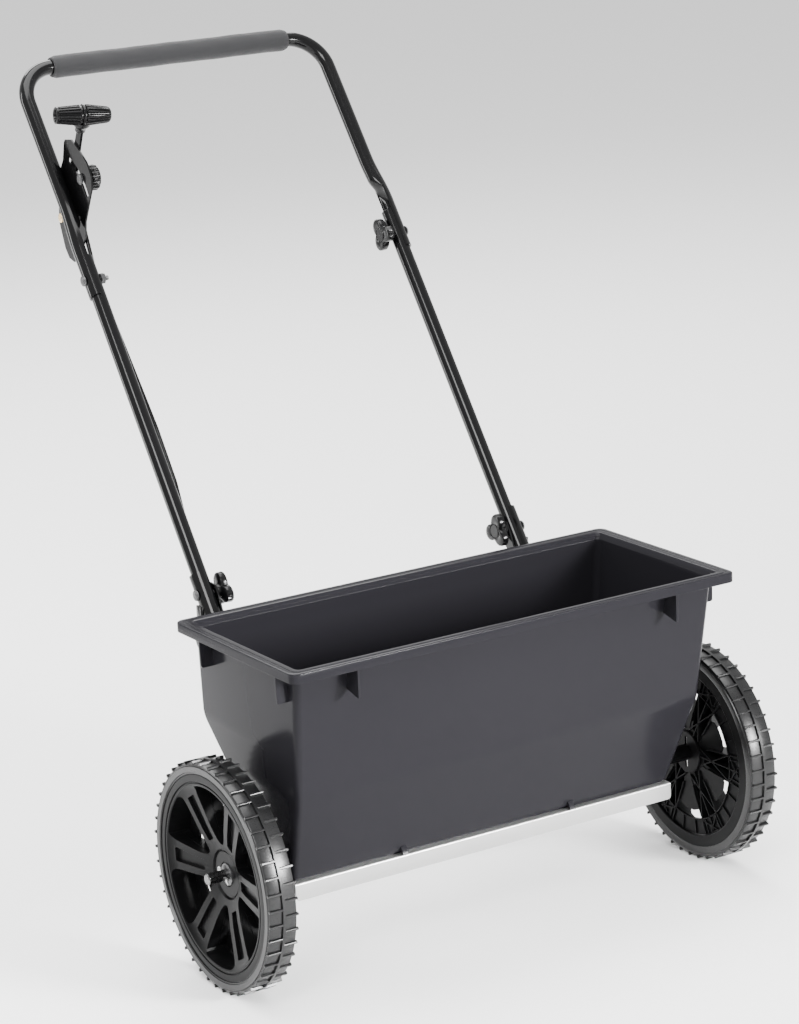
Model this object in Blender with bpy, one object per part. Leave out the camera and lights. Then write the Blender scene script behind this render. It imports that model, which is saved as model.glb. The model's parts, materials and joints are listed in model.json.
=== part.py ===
"""Walk-behind drop spreader: hopper, sliding gate, driven axle, wheels, two-part handle and rate lever.

Design axes while building: +X along the axle (to the right), +Y back towards the handle, +Z up.
The whole design is then moved so that its bounding box stands centred on the origin.
"""
import math

import bmesh
import bpy
from mathutils import Matrix, Vector

# Wheels and axle
WHEEL_R = 0.127
TYRE_IN_R = 0.1123
RIM_R = 0.1120
RIM_IN_R = 0.100
WHEEL_IN_X = 0.295
WHEEL_OUT_X = 0.329
HUB_R = 0.025
HUB_FACE_X = 0.308
WEB_IN_X = 0.299
WEB_OUT_X = 0.324
AXLE_R = 0.00625
AXLE_END_X = 0.334
COTTER_X = 0.3135
DRIVE_PIN_X = 0.2985

# Hopper
WALL = 0.0025
RIM_TOP_Z = 0.371
RIM_LIP_Z = 0.360
RIM_HALF_X = 0.2824
RIM_FRONT_Y = -0.1207
RIM_BACK_Y = 0.1345
RIM_FLAT = 0.014
FLOOR_TOP_Z = 0.1162
FLOOR_LOW_Z = 0.1108
HOPPER_LOW_Z = 0.1137
# (z, half width, front y, back y) of the outer wall, from the bottom up
HOPPER_WALL = (
    (HOPPER_LOW_Z, 0.2471, -0.0300, 0.0300),
    (0.1720, 0.2547, -0.0550, 0.0300),
    (0.2190, 0.2609, -0.0755, 0.0790),
    (0.2650, 0.2627, -0.0830, 0.1240),
    (0.3620, 0.2670, -0.0990, 0.1180),
)
PORTS = 12
PORT_PITCH = 0.038
PORT_W = 0.008
PORT_L = 0.030

# Gate under the hopper floor
GATE_TOP_Z = 0.1105
GATE_T = 0.0015
GATE_FRONT_Y = -0.035
GATE_BACK_Y = 0.034
GATE_LOW_Z = 0.091
GATE_HALF_X = 0.247
GATE_OPEN = 0.0085

# Handle, all in the (y, z) plane
TUBE_R = 0.0088
TUBE_BORE = 0.0073
TUBE_SLOPE = 0.695
LOWER_X = 0.2045
UPPER_X = 0.2025
UPPER_LOW = Vector((0.4177, 0.6770))
BAR = Vector((0.5940, 0.9205))
BEND_R = 0.044
LOWER_TOP_S = 0.051
LOWER_END_Z = 0.300
GRIP_HALF = 0.158
GRIP_R = 0.0135
CRUSH_IN_R = 0.0091
CRUSH_OUT_R = 0.0109
JOINT_UP = Vector((0.4302, 0.6950))
JOINT_LOW = Vector((0.2050, 0.3710))
BOLT_R = 0.003
HOLE_R = 0.0033
NUT_BORE = 0.0037

# Rate lever, plate and rod
PIVOT = Vector((0.5195, 0.7550))
LEVER_ANGLE = math.radians(27.5)
LEVER_LEN = 0.126
ARM_ANGLE = math.radians(55.2)
ARM_LEN = 0.030
SLOT_R = 0.076
SLOT_FROM = math.radians(19.5)
SLOT_TO = math.radians(65.0)
STOP_ANGLE = math.radians(47.8)
PLATE_X = (-0.1932, -0.1912)
SCREW = Vector((0.4765, 0.7590))
LEVER_X = (-0.1908, -0.1878)
ROD_R = 0.0025
CRANK_P = Vector((-0.160, 0.062, 0.140))
CRANK_ARM = 0.028
FINGER_Y = 0.0445

# Stand
STAND_X = 0.2145
STAND_LEG_X = 0.168
STAND_Y = 0.200
PAD_H = 0.0125

ALONG = Vector((0.0, TUBE_SLOPE, 1.0)).normalized()
ACROSS = Vector((0.0, ALONG.z, -ALONG.y))
FRAME_SHIFT = Vector((0.0, -(BAR.x + GRIP_R - WHEEL_R) / 2.0, 0.0))

COLOURS = {
    "hopper": ((0.075, 0.073, 0.080), 0.0, 0.30),
    "paint": ((0.012, 0.012, 0.013), 0.0, 0.25),
    "plastic": ((0.020, 0.020, 0.021), 0.0, 0.45),
    "rubber": ((0.018, 0.018, 0.018), 0.0, 0.75),
    "foam": ((0.090, 0.090, 0.098), 0.0, 0.90),
    "steel": ((0.700, 0.710, 0.730), 1.0, 0.35),
    "zinc": ((0.600, 0.610, 0.620), 1.0, 0.40),
    "brass": ((0.780, 0.600, 0.300), 1.0, 0.35),
}


# ---------------------------------------------------------------- helpers
def clear_scene():
    for obj in list(bpy.data.objects):
        bpy.data.objects.remove(obj, do_unlink=True)
    for mesh in list(bpy.data.meshes):
        bpy.data.meshes.remove(mesh)


def material(node, key):
    colour, metallic, roughness = COLOURS[key]
    mat = bpy.data.materials.new(node + "_material")
    mat.use_nodes = True
    shader = mat.node_tree.nodes["Principled BSDF"]
    shader.inputs["Base Color"].default_value = (*colour, 1.0)
    shader.inputs["Metallic"].default_value = metallic
    shader.inputs["Roughness"].default_value = roughness
    mat.diffuse_color = (*colour, 1.0)
    return mat


def make(name, bm, key, origin=(0.0, 0.0, 0.0), smooth=True):
    """Turn a mesh drawn in design axes into an object whose origin is the given point."""
    origin = Vector(origin)
    bmesh.ops.recalc_face_normals(bm, faces=bm.faces)
    bmesh.ops.translate(bm, verts=bm.verts, vec=-origin)
    mesh = bpy.data.meshes.new(name)
    bm.to_mesh(mesh)
    bm.free()
    obj = bpy.data.objects.new(name, mesh)
    bpy.context.scene.collection.objects.link(obj)
    obj.location = origin + FRAME_SHIFT
    if key is not None:
        mesh.materials.append(material(name, key))
    for face in mesh.polygons:
        face.use_smooth = smooth
    if smooth:
        mesh.set_sharp_from_angle(angle=math.radians(35.0))
    return obj


def boolean(obj, bm, operation):
    """Cut away or add the shapes in bm, drawn in design axes."""
    index = len(obj.modifiers) + 1
    tool = make("%s_%s_%d" % (obj.name, operation.lower(), index), bm, None, smooth=False)
    tool.hide_render = True
    tool.display_type = "WIRE"
    mod = obj.modifiers.new("%s_%d" % (operation.lower(), index), "BOOLEAN")
    mod.operation = operation
    mod.solver = "EXACT"
    mod.object = tool


def cut(obj, bm):
    boolean(obj, bm, "DIFFERENCE")


def join(obj, bm):
    boolean(obj, bm, "UNION")


def skin(bm, rings, closed):
    """Quads between successive rings of points; closed joins the last ring to the first."""
    loops = []
    for ring in rings:
        loops.append([bm.verts.new(point) for point in ring])
    count = len(loops[0])
    pairs = list(zip(loops, loops[1:]))
    if closed:
        pairs.append((loops[-1], loops[0]))
    for low, high in pairs:
        for i in range(count):
            j = (i + 1) % count
            bm.faces.new((low[i], low[j], high[j], high[i]))
    if not closed:
        bm.faces.new(list(reversed(loops[0])))
        bm.faces.new(loops[-1])


def circle(centre, u, v, radius, count):
    centre = Vector(centre)
    points = []
    for i in range(count):
        a = 2.0 * math.pi * i / count
        points.append(centre + u * (radius * math.cos(a)) + v * (radius * math.sin(a)))
    return points


def square_to(axis):
    """Two unit directions across the axis, the first as level as possible."""
    axis = Vector(axis).normalized()
    if abs(axis.x) > 0.9:
        u = Vector((0.0, 1.0, 0.0))
    else:
        u = Vector((1.0, 0.0, 0.0))
    u = (u - axis * u.dot(axis)).normalized()
    return u, axis.cross(u)


def add_turned(bm, centre, axis, profile, count=16):
    """Solid turned about an axis: (distance along the axis, radius) pairs, open ends capped."""
    axis = Vector(axis).normalized()
    u, v = square_to(axis)
    rings = []
    for along, radius in profile:
        rings.append(circle(Vector(centre) + axis * along, u, v, radius, count))
    skin(bm, rings, closed=False)


def add_ring(bm, centre, axis, profile, count=16):
    """Turned solid with a hole: the profile is a closed loop of (along, radius) pairs."""
    axis = Vector(axis).normalized()
    u, v = square_to(axis)
    rings = []
    for along, radius in profile:
        rings.append(circle(Vector(centre) + axis * along, u, v, radius, count))
    skin(bm, rings, closed=True)


def turned(centre, axis, profile, count=16):
    bm = bmesh.new()
    add_turned(bm, centre, axis, profile, count)
    return bm


def turned_ring(centre, axis, profile, count=16):
    bm = bmesh.new()
    add_ring(bm, centre, axis, profile, count)
    return bm


def add_box(bm, low, high):
    size = [b - a for a, b in zip(low, high)]
    middle = [(a + b) / 2.0 for a, b in zip(low, high)]
    matrix = Matrix.Translation(middle) @ Matrix.Diagonal((*size, 1.0))
    bmesh.ops.create_cube(bm, size=1.0, matrix=matrix)


def box(low, high):
    bm = bmesh.new()
    add_box(bm, low, high)
    return bm


def add_prism(bm, outline, base, along, u, v):
    """Plate with an outline given as (u, v) pairs, thickened from base by the vector along."""
    low = [Vector(base) + u * a + v * b for a, b in outline]
    high = [point + Vector(along) for point in low]
    skin(bm, [low, high], closed=False)


def side_prism(outline, x0, x1):
    """Plate lying in a plane across X, outline given as (y, z) pairs."""
    bm = bmesh.new()
    add_prism(bm, outline, (x0, 0, 0), (x1 - x0, 0, 0), Vector((0, 1, 0)), Vector((0, 0, 1)))
    return bm


def capsule(a, b, ra, rb, count=7):
    """Outline round two circles joined by straight sides."""
    a, b = Vector(a), Vector(b)
    heading = math.atan2(b.y - a.y, b.x - a.x)
    points = []
    for centre, radius, start in ((a, ra, heading + math.pi / 2.0), (b, rb, heading - math.pi / 2.0)):
        for i in range(count):
            t = start + math.pi * i / (count - 1)
            points.append((centre.x + radius * math.cos(t), centre.y + radius * math.sin(t)))
    return points


def tube(path, outer, bore, count=12, up=(1.0, 0.0, 0.0)):
    """Hollow round tube along a path of points, open at both ends."""
    path = [Vector(point) for point in path]
    side = Vector(up)
    outers, bores = [], []
    for i, point in enumerate(path):
        before = (point - path[i - 1]).normalized() if i > 0 else None
        after = (path[i + 1] - point).normalized() if i < len(path) - 1 else None
        if before is None:
            tangent = after
        elif after is None:
            tangent = before
        else:
            tangent = (before + after).normalized()
        side = (side - tangent * side.dot(tangent)).normalized()
        other = tangent.cross(side)
        outers.append(circle(point, side, other, outer, count))
        bores.append(circle(point, side, other, bore, count))
    bm = bmesh.new()
    skin(bm, outers + list(reversed(bores)), closed=True)
    return bm


def bar(path, radius, count=8, up=(1.0, 0.0, 0.0)):
    """Solid round bar along a path of points."""
    path = [Vector(point) for point in path]
    side = Vector(up)
    rings = []
    for i, point in enumerate(path):
        before = (point - path[i - 1]).normalized() if i > 0 else None
        after = (path[i + 1] - point).normalized() if i < len(path) - 1 else None
        if before is None:
            tangent = after
        elif after is None:
            tangent = before
        else:
            tangent = (before + after).normalized()
        side = (side - tangent * side.dot(tangent)).normalized()
        rings.append(circle(point, side, tangent.cross(side), radius, count))
    bm = bmesh.new()
    skin(bm, rings, closed=False)
    return bm


def bend(corner, start, end, radius, steps=5):
    """Points rounding the corner between the directions to start and to end."""
    corner, start, end = Vector(corner), Vector(start), Vector(end)
    a = (start - corner).normalized()
    b = (end - corner).normalized()
    half = a.angle(b) / 2.0
    reach = radius / math.tan(half)
    centre = corner + (a + b).normalized() * (radius / math.sin(half))
    first = corner + a * reach - centre
    last = corner + b * reach - centre
    sweep = first.angle(last)
    square = (last - first * math.cos(sweep)) / math.sin(sweep)
    turns = [sweep * i / steps for i in range(steps + 1)]
    return [centre + first * math.cos(t) + square * math.sin(t) for t in turns]


def half_pipe(stations, side, count=9):
    """Gutter over the outer half of a tube: stations of (centre, along, inner, outer) radii."""
    rings = []
    for centre, along, inner, outer in stations:
        out = Vector((side, 0.0, 0.0))
        cross = Vector(along).normalized().cross(out)
        ring = []
        for radius, order in ((outer, range(count)), (inner, reversed(range(count)))):
            for i in order:
                a = math.pi * (i / (count - 1) - 0.5)
                ring.append(Vector(centre) + out * (radius * math.cos(a)) + cross * (radius * math.sin(a)))
        rings.append(ring)
    bm = bmesh.new()
    skin(bm, rings, closed=False)
    return bm


def rounded_rect(half_x, y0, y1, z, radius, steps=2):
    """Points round a level rectangle with rounded corners."""
    points = []
    corners = ((half_x, y1, 0), (-half_x, y1, 1), (-half_x, y0, 2), (half_x, y0, 3))
    for x, y, quarter in corners:
        cx = x - math.copysign(radius, x)
        cy = y - radius if quarter < 2 else y + radius
        for i in range(steps + 1):
            a = math.pi / 2.0 * (quarter + i / steps)
            points.append(Vector((cx + radius * math.cos(a), cy + radius * math.sin(a), z)))
    return points


def on_lower(s, x):
    """Point on the lower tube's centre line, s above the end of the upper tube."""
    return Vector((x, UPPER_LOW.x, UPPER_LOW.y)) + ALONG * s


def lower_at(z, x):
    return on_lower((z - UPPER_LOW.y) / ALONG.z, x)


def polar(angle, radius):
    """(y, z) point round the lever pivot, the angle measured forward from straight up."""
    return (PIVOT.x - radius * math.sin(angle), PIVOT.y + radius * math.cos(angle))


# ---------------------------------------------------------------- hopper and what it carries
def build_hopper():
    rings = []
    floor = HOPPER_WALL[0]
    rings.append(rounded_rect(floor[1] - 0.004, floor[2] + 0.004, floor[3] - 0.004, FLOOR_LOW_Z, 0.003))
    rings.append(rounded_rect(floor[1] - 0.004, floor[2] + 0.004, floor[3] - 0.004, HOPPER_LOW_Z, 0.003))
    for z, half, front, back in HOPPER_WALL:
        top = z if z < 0.36 else 0.3665
        rings.append(rounded_rect(half, front, back, top, 0.008))
    lip = 0.0025
    rings.append(rounded_rect(RIM_HALF_X - lip, RIM_FRONT_Y + lip, RIM_BACK_Y - lip, 0.3675, 0.007))
    rings.append(rounded_rect(RIM_HALF_X - lip, RIM_FRONT_Y + lip, RIM_BACK_Y - lip, RIM_LIP_Z, 0.007))
    rings.append(rounded_rect(RIM_HALF_X, RIM_FRONT_Y, RIM_BACK_Y, RIM_LIP_Z, 0.009))
    rings.append(rounded_rect(RIM_HALF_X, RIM_FRONT_Y, RIM_BACK_Y, RIM_TOP_Z, 0.009))
    flat = RIM_FLAT
    rings.append(rounded_rect(RIM_HALF_X - flat, RIM_FRONT_Y + flat, RIM_BACK_Y - flat, RIM_TOP_Z, 0.007))
    for z, half, front, back in reversed(HOPPER_WALL):
        low = max(z, FLOOR_TOP_Z)
        rings.append(rounded_rect(half - WALL, front + WALL, back - WALL, low, 0.006))
    bm = bmesh.new()
    skin(bm, rings, closed=False)
    hopper = make("hopper", bm, "hopper")
    ports = bmesh.new()
    for x in port_centres():
        add_box(ports, (x - PORT_W / 2, -PORT_L / 2, 0.100), (x + PORT_W / 2, PORT_L / 2, 0.1172))
    cut(hopper, ports)
    holes = bmesh.new()
    add_turned(holes, (-0.26, 0.0, WHEEL_R), (1, 0, 0), ((0.0, 0.0105), (0.52, 0.0105)), 16)
    cut(hopper, holes)
    bolts = bmesh.new()
    for side in (-1.0, 1.0):
        add_turned(bolts, (side * 0.211, 0.1196, 0.310), (0, 1, 0), ((0.0, HOLE_R), (0.02, HOLE_R)), 8)
    cut(hopper, bolts)
    ribs = bmesh.new()
    for side in (-1.0, 1.0):
        x = side * 0.203
        profile = ((-0.0975, 0.3600), (-0.1035, 0.3670), (-0.1190, 0.3670), (-0.1184, 0.3300), (-0.1165, 0.3288),
                   (-0.0932, 0.3340))
        add_prism(ribs, profile, (x - 0.0015, 0, 0), (0.003, 0, 0), Vector((0, 1, 0)), Vector((0, 0, 1)))
        for y in (-0.079, 0.084):
            plate = ((side * 0.2657, 0.3600), (side * 0.2690, 0.3670), (side * 0.2808, 0.3670),
                     (side * 0.2800, 0.3310), (side * 0.2782, 0.3295), (side * 0.2645, 0.3295))
            add_prism(ribs, plate, (0, y - 0.0015, 0), (0, 0.003, 0), Vector((1, 0, 0)), Vector((0, 0, 1)))
    join(hopper, ribs)
    guides = bmesh.new()
    for x in (-0.205, -0.110, 0.110, 0.205):
        hook = ((0.0290, 0.1200), (0.0290, 0.1125), (0.0352, 0.1125), (0.0352, 0.1078), (0.0320, 0.1078),
                (0.0320, 0.1062), (0.0372, 0.1062), (0.0372, 0.1200))
        add_prism(guides, hook, (x - 0.004, 0, 0), (0.008, 0, 0), Vector((0, 1, 0)), Vector((0, 0, 1)))
    for x in (-0.110, 0.110):
        clip = ((-0.0310, 0.1195), (-0.0335, 0.1195), (-0.0362, 0.1150), (-0.0372, 0.1114), (-0.0340, 0.1114),
                (-0.0290, 0.1128), (-0.0290, 0.1150))
        add_prism(guides, clip, (x - 0.0035, 0, 0), (0.007, 0, 0), Vector((0, 1, 0)), Vector((0, 0, 1)))
    join(hopper, guides)


def port_centres():
    start = -(PORTS - 1) / 2.0 * PORT_PITCH
    return [start + i * PORT_PITCH for i in range(PORTS)]


def build_gate():
    top, low, t = GATE_TOP_Z, GATE_TOP_Z - GATE_T, GATE_T
    section = ((GATE_FRONT_Y, GATE_LOW_Z), (GATE_FRONT_Y, top), (GATE_BACK_Y, top), (GATE_BACK_Y, low),
               (GATE_FRONT_Y + t, low), (GATE_FRONT_Y + t, GATE_LOW_Z))
    gate = make("gate_plate", side_prism(section, -GATE_HALF_X, GATE_HALF_X), "steel",
                origin=(0.0, 0.0, GATE_TOP_Z), smooth=False)
    x = CRANK_P.x
    join(gate, box((x - 0.016, GATE_BACK_Y - 0.002, low), (x + 0.016, FINGER_Y + 0.0085, top)))
    slots = bmesh.new()
    add_box(slots, (x - 0.00295, FINGER_Y - 0.0045, low - 0.002), (x + 0.00295, FINGER_Y + 0.0045, top + 0.002))
    for centre in port_centres():
        c = centre - GATE_OPEN
        add_box(slots, (c - PORT_W / 2, -PORT_L / 2, low - 0.002), (c + PORT_W / 2, PORT_L / 2, top + 0.002))
    cut(gate, slots)


def build_crank():
    u, v = Vector((1.0, 0.0, 0.0)), ALONG
    bm = bmesh.new()
    base = CRANK_P - ACROSS * 0.0015
    add_prism(bm, capsule((0, 0), (-CRANK_ARM, 0), 0.008, 0.0075), base, ACROSS * 0.003, u, v)
    crank = make("bell_crank", bm, "zinc", origin=CRANK_P)
    down = bmesh.new()
    add_prism(down, capsule((0, 0), (0, -0.026), 0.0085, 0.0055), base, ACROSS * 0.003, u, v)
    join(crank, down)
    join(crank, turned((CRANK_P.x, FINGER_Y, 0.1050), (0, 0, 1), ((0.0, 0.0025), (0.0145, 0.0025)), 10))
    holes = bmesh.new()
    add_turned(holes, CRANK_P - ACROSS * 0.004, ACROSS, ((0.0, HOLE_R), (0.008, HOLE_R)), 12)
    slot = capsule((-CRANK_ARM - 0.0013, 0), (-CRANK_ARM + 0.0013, 0), ROD_R + 0.0004, ROD_R + 0.0004, 5)
    add_prism(holes, slot, CRANK_P - ACROSS * 0.004, ACROSS * 0.008, u, v)
    cut(crank, holes)
    face = CRANK_P - ACROSS * 0.0018
    a = face - ALONG * 0.010
    b = face + ALONG * 0.012
    profile = ((0.0303, 0.122), (a.y, a.z), (b.y, b.z), (0.0303, 0.167))
    bracket = make("crank_bracket", side_prism(profile, CRANK_P.x - 0.012, CRANK_P.x + 0.012), "plastic",
                   smooth=False)
    cut(bracket, turned(face + ACROSS * 0.001, -ACROSS, ((0.0, HOLE_R), (0.0130, HOLE_R)), 12))
    pin = ((-0.0120, BOLT_R), (0.0018, BOLT_R), (0.0018, 0.0060), (0.0036, 0.0052))
    make("crank_pin", turned(CRANK_P, ACROSS, pin, 12), "zinc", origin=CRANK_P)


def wall_back(z):
    return 0.124 - (z - 0.265) * 0.006 / 0.097


def build_hopper_brackets(side, name):
    gap = 0.0004
    low, high = 0.277, 0.343
    x0, x1 = side * 0.1934, side * 0.1954
    plate = ((wall_back(low) + gap, low), (0.150, 0.288), (0.2010, 0.3480), (0.2150, 0.3600), (0.2180, 0.3720),
             (0.2120, 0.3810), (0.2010, 0.3800), (0.1945, 0.3700), (0.1880, 0.3540), (0.1560, 0.3340),
             (wall_back(high) + gap, high))
    bracket = make("hopper_bracket_" + name, side_prism(plate, x0, x1), "paint", smooth=False)
    flange = ((wall_back(low) + gap, low), (wall_back(low) + gap + 0.002, low),
              (wall_back(high) + gap + 0.002, high), (wall_back(high) + gap, high))
    join(bracket, side_prism(flange, x0 + side * 0.0005, side * 0.2260))
    holes = bmesh.new()
    add_turned(holes, (side * 0.190, JOINT_LOW.x, JOINT_LOW.y), (side, 0, 0), ((0, HOLE_R), (0.008, HOLE_R)), 10)
    add_turned(holes, (side * 0.211, 0.115, 0.310), (0, 1, 0), ((0.0, HOLE_R), (0.02, HOLE_R)), 10)
    cut(bracket, holes)
    y = wall_back(0.310) + gap + 0.002
    profile = ((-0.0035, BOLT_R), (0.0009, BOLT_R), (0.0009, 0.0056), (0.0045, 0.0056))
    bolt = turned((side * 0.211, y, 0.310), (0, 1, 0), profile, 10)
    make("hopper_bolt_" + name, bolt, "zinc", origin=(side * 0.211, y, 0.310))


# ---------------------------------------------------------------- axle and wheels
def build_axle():
    axle_origin = (0.0, 0.0, WHEEL_R)
    rod = ((-AXLE_END_X, AXLE_R - 0.001), (-AXLE_END_X + 0.001, AXLE_R), (AXLE_END_X - 0.001, AXLE_R),
           (AXLE_END_X, AXLE_R - 0.001))
    axle = make("axle", turned(axle_origin, (1, 0, 0), rod, 16), "steel", origin=axle_origin)
    holes = bmesh.new()
    for x, radius in ((-COTTER_X, 0.0017), (0.0, 0.0019), (DRIVE_PIN_X, 0.0021), (COTTER_X, 0.0017)):
        add_turned(holes, (x, 0, WHEEL_R - 0.01), (0, 0, 1), ((0.0, radius), (0.02, radius)), 8)
    cut(axle, holes)
    star = []
    for x in (-0.225, 0.225):
        ring = []
        for i in range(12):
            radius = 0.0100 if i % 2 == 0 else 0.0082
            a = 2.0 * math.pi * i / 12 + math.radians(15.0)
            ring.append(Vector((x, radius * math.cos(a), WHEEL_R + radius * math.sin(a))))
        star.append(ring)
    bores = []
    for x in (0.225, -0.225):
        ring = []
        for i in range(12):
            a = 2.0 * math.pi * i / 12 + math.radians(15.0)
            ring.append(Vector((x, 0.0070 * math.cos(a), WHEEL_R + 0.0070 * math.sin(a))))
        bores.append(ring)
    bm = bmesh.new()
    skin(bm, star + bores, closed=True)
    agitator = make("agitator", bm, "plastic", origin=axle_origin, smooth=False)
    cut(agitator, turned((0, 0, WHEEL_R - 0.012), (0, 0, 1), ((0.0, 0.0019), (0.024, 0.0019)), 8))
    pin = turned((0, 0, WHEEL_R), (0, 0, 1), ((-0.0095, 0.0015), (0.0095, 0.0015)), 8)
    make("agitator_pin", pin, "zinc", origin=axle_origin)
    pin = turned((DRIVE_PIN_X, 0, WHEEL_R), (0, 0, 1), ((-0.018, 0.00175), (0.018, 0.00175)), 8)
    make("drive_pin", pin, "zinc", origin=(DRIVE_PIN_X, 0.0, WHEEL_R))
    for side, name in ((-1.0, "left"), (1.0, "right")):
        build_bearing(side, name)
        build_wheel(side, name)


def build_bearing(side, name):
    centre = (0.0, 0.0, WHEEL_R)
    axis = (side, 0.0, 0.0)
    bush = ((0.2440, 0.0066), (0.2440, 0.0101), (0.2518, 0.0101), (0.2518, 0.0155), (0.2545, 0.0155),
            (0.2545, 0.0066))
    make("axle_bushing_" + name, turned_ring(centre, axis, bush, 16), "plastic", origin=(side * 0.25, 0, WHEEL_R))
    spacer = ((0.2549, 0.0066), (0.2549, 0.0095), (0.2946, 0.0095), (0.2946, 0.0066))
    make("axle_spacer_" + name, turned_ring(centre, axis, spacer, 16), "plastic",
         origin=(side * 0.275, 0, WHEEL_R))
    washer = ((HUB_FACE_X + 0.0003, 0.0066), (HUB_FACE_X + 0.0003, 0.0120), (HUB_FACE_X + 0.0018, 0.0120),
              (HUB_FACE_X + 0.0018, 0.0066))
    make("wheel_washer_" + name, turned_ring(centre, axis, washer, 16), "zinc",
         origin=(side * HUB_FACE_X, 0, WHEEL_R))
    x = side * COTTER_X
    pin = turned((x, 0, WHEEL_R), (0, 0, 1), ((-0.0125, 0.0013), (0.0085, 0.0013), (0.0095, 0.0030),
                                             (0.0125, 0.0030), (0.0135, 0.0015)), 8)
    make("cotter_pin_" + name, pin, "zinc", origin=(x, 0, WHEEL_R))


def build_wheel(side, name):
    centre = (0.0, 0.0, WHEEL_R)
    origin = (side * (WHEEL_IN_X + WHEEL_OUT_X) / 2.0, 0.0, WHEEL_R)
    axis = (side, 0.0, 0.0)
    profile = ((WHEEL_IN_X, 0.0066), (WHEEL_IN_X, HUB_R), (WEB_IN_X, HUB_R), (WEB_IN_X, RIM_IN_R),
               (WHEEL_IN_X, RIM_IN_R), (WHEEL_IN_X, RIM_R), (WHEEL_OUT_X, RIM_R), (WHEEL_OUT_X, RIM_IN_R),
               (WEB_OUT_X, RIM_IN_R), (HUB_FACE_X, HUB_R), (HUB_FACE_X, 0.0066))
    wheel = make("wheel_" + name, turned_ring(centre, axis, profile, 36), "plastic", origin=origin)
    windows = bmesh.new()
    u, v = Vector((0, 1, 0)), Vector((0, 0, 1))
    for i in range(6):
        middle = math.radians(60.0 * i)
        outline = []
        for radius, half in ((0.0300, 10.0), (0.0960, 19.5)):
            arc = [middle + math.radians(half * k) for k in (-1.0, -0.33, 0.33, 1.0)]
            if radius > 0.05:
                arc.reverse()
            outline += [(radius * math.sin(a), radius * math.cos(a)) for a in arc]
        base = (side * (WEB_IN_X - 0.004), 0, WHEEL_R)
        add_prism(windows, outline, base, (side * 0.036, 0, 0), u, v)
    cut(wheel, windows)
    if side > 0:
        x0 = WHEEL_IN_X - 0.001
        cut(wheel, box((x0, -0.0021, WHEEL_R - 0.0185), (DRIVE_PIN_X + 0.0021, 0.0021, WHEEL_R + 0.0185)))
    crown = 0.0020
    tyre = ((WHEEL_IN_X, TYRE_IN_R), (WHEEL_IN_X, WHEEL_R - crown), (WHEEL_IN_X + 0.004, WHEEL_R),
            (WHEEL_OUT_X - 0.004, WHEEL_R), (WHEEL_OUT_X, WHEEL_R - crown), (WHEEL_OUT_X, TYRE_IN_R))
    make("tyre_" + name, turned_ring(centre, axis, tyre, 48), "rubber", origin=origin)


# ---------------------------------------------------------------- handle and stand
def build_lower_tube(side, name):
    x = side * LOWER_X
    path = (lower_at(LOWER_END_Z, x), on_lower(LOWER_TOP_S, x))
    obj = make("lower_tube_" + name, tube(path, TUBE_R, TUBE_BORE, 16), "paint")
    holes = bmesh.new()
    for joint in (JOINT_LOW, JOINT_UP):
        add_turned(holes, (x - 0.015, joint.x, joint.y), (1, 0, 0), ((0.0, HOLE_R), (0.03, HOLE_R)), 10)
    cut(obj, holes)


def build_upper_handle():
    corner_z = Vector((0.0, BAR.x, BAR.y))
    left_low = Vector((-UPPER_X, UPPER_LOW.x, UPPER_LOW.y))
    left_top = Vector((-UPPER_X, corner_z.y, corner_z.z))
    right_low = Vector((UPPER_X, UPPER_LOW.x, UPPER_LOW.y))
    right_top = Vector((UPPER_X, corner_z.y, corner_z.z))
    leg = (left_top - left_low).normalized()
    path = [left_low + leg * 0.055]
    path += bend(left_top, left_low, right_top, BEND_R)
    path += bend(right_top, left_top, right_low, BEND_R)
    path += [right_low + leg * 0.055]
    normal = leg.cross(Vector((1.0, 0.0, 0.0)))
    handle = make("upper_handle", tube(path, TUBE_R, TUBE_BORE, 12, up=normal), "paint")
    for side in (-1.0, 1.0):
        stations = []
        for s, inner, outer, blend in ((0.0, CRUSH_IN_R, CRUSH_OUT_R, 0.0), (0.052, CRUSH_IN_R, CRUSH_OUT_R, 0.0),
                                       (0.063, 0.0077, 0.0086, 1.0)):
            low = on_lower(s, side * LOWER_X)
            upper = Vector((side * UPPER_X, UPPER_LOW.x, UPPER_LOW.y)) + leg * s
            stations.append((low.lerp(upper, blend), ALONG, inner, outer))
        join(handle, half_pipe(stations, side))
    holes = bmesh.new()
    for side in (-1.0, 1.0):
        add_turned(holes, (side * 0.200, JOINT_UP.x, JOINT_UP.y), (side, 0, 0), ((0.0, HOLE_R), (0.02, HOLE_R)), 10)
    add_turned(holes, (-0.1985, SCREW.x, SCREW.y), (1, 0, 0), ((0.0, 0.0030), (0.008, 0.0030)), 10)
    cut(handle, holes)
    grip = ((-GRIP_HALF, TUBE_R + 0.0003), (-GRIP_HALF, GRIP_R - 0.002), (-GRIP_HALF + 0.002, GRIP_R),
            (GRIP_HALF - 0.002, GRIP_R), (GRIP_HALF, GRIP_R - 0.002), (GRIP_HALF, TUBE_R + 0.0003))
    make("foam_grip", turned_ring((0, BAR.x, BAR.y), (1, 0, 0), grip, 20), "foam", origin=(0, BAR.x, BAR.y))


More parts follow.
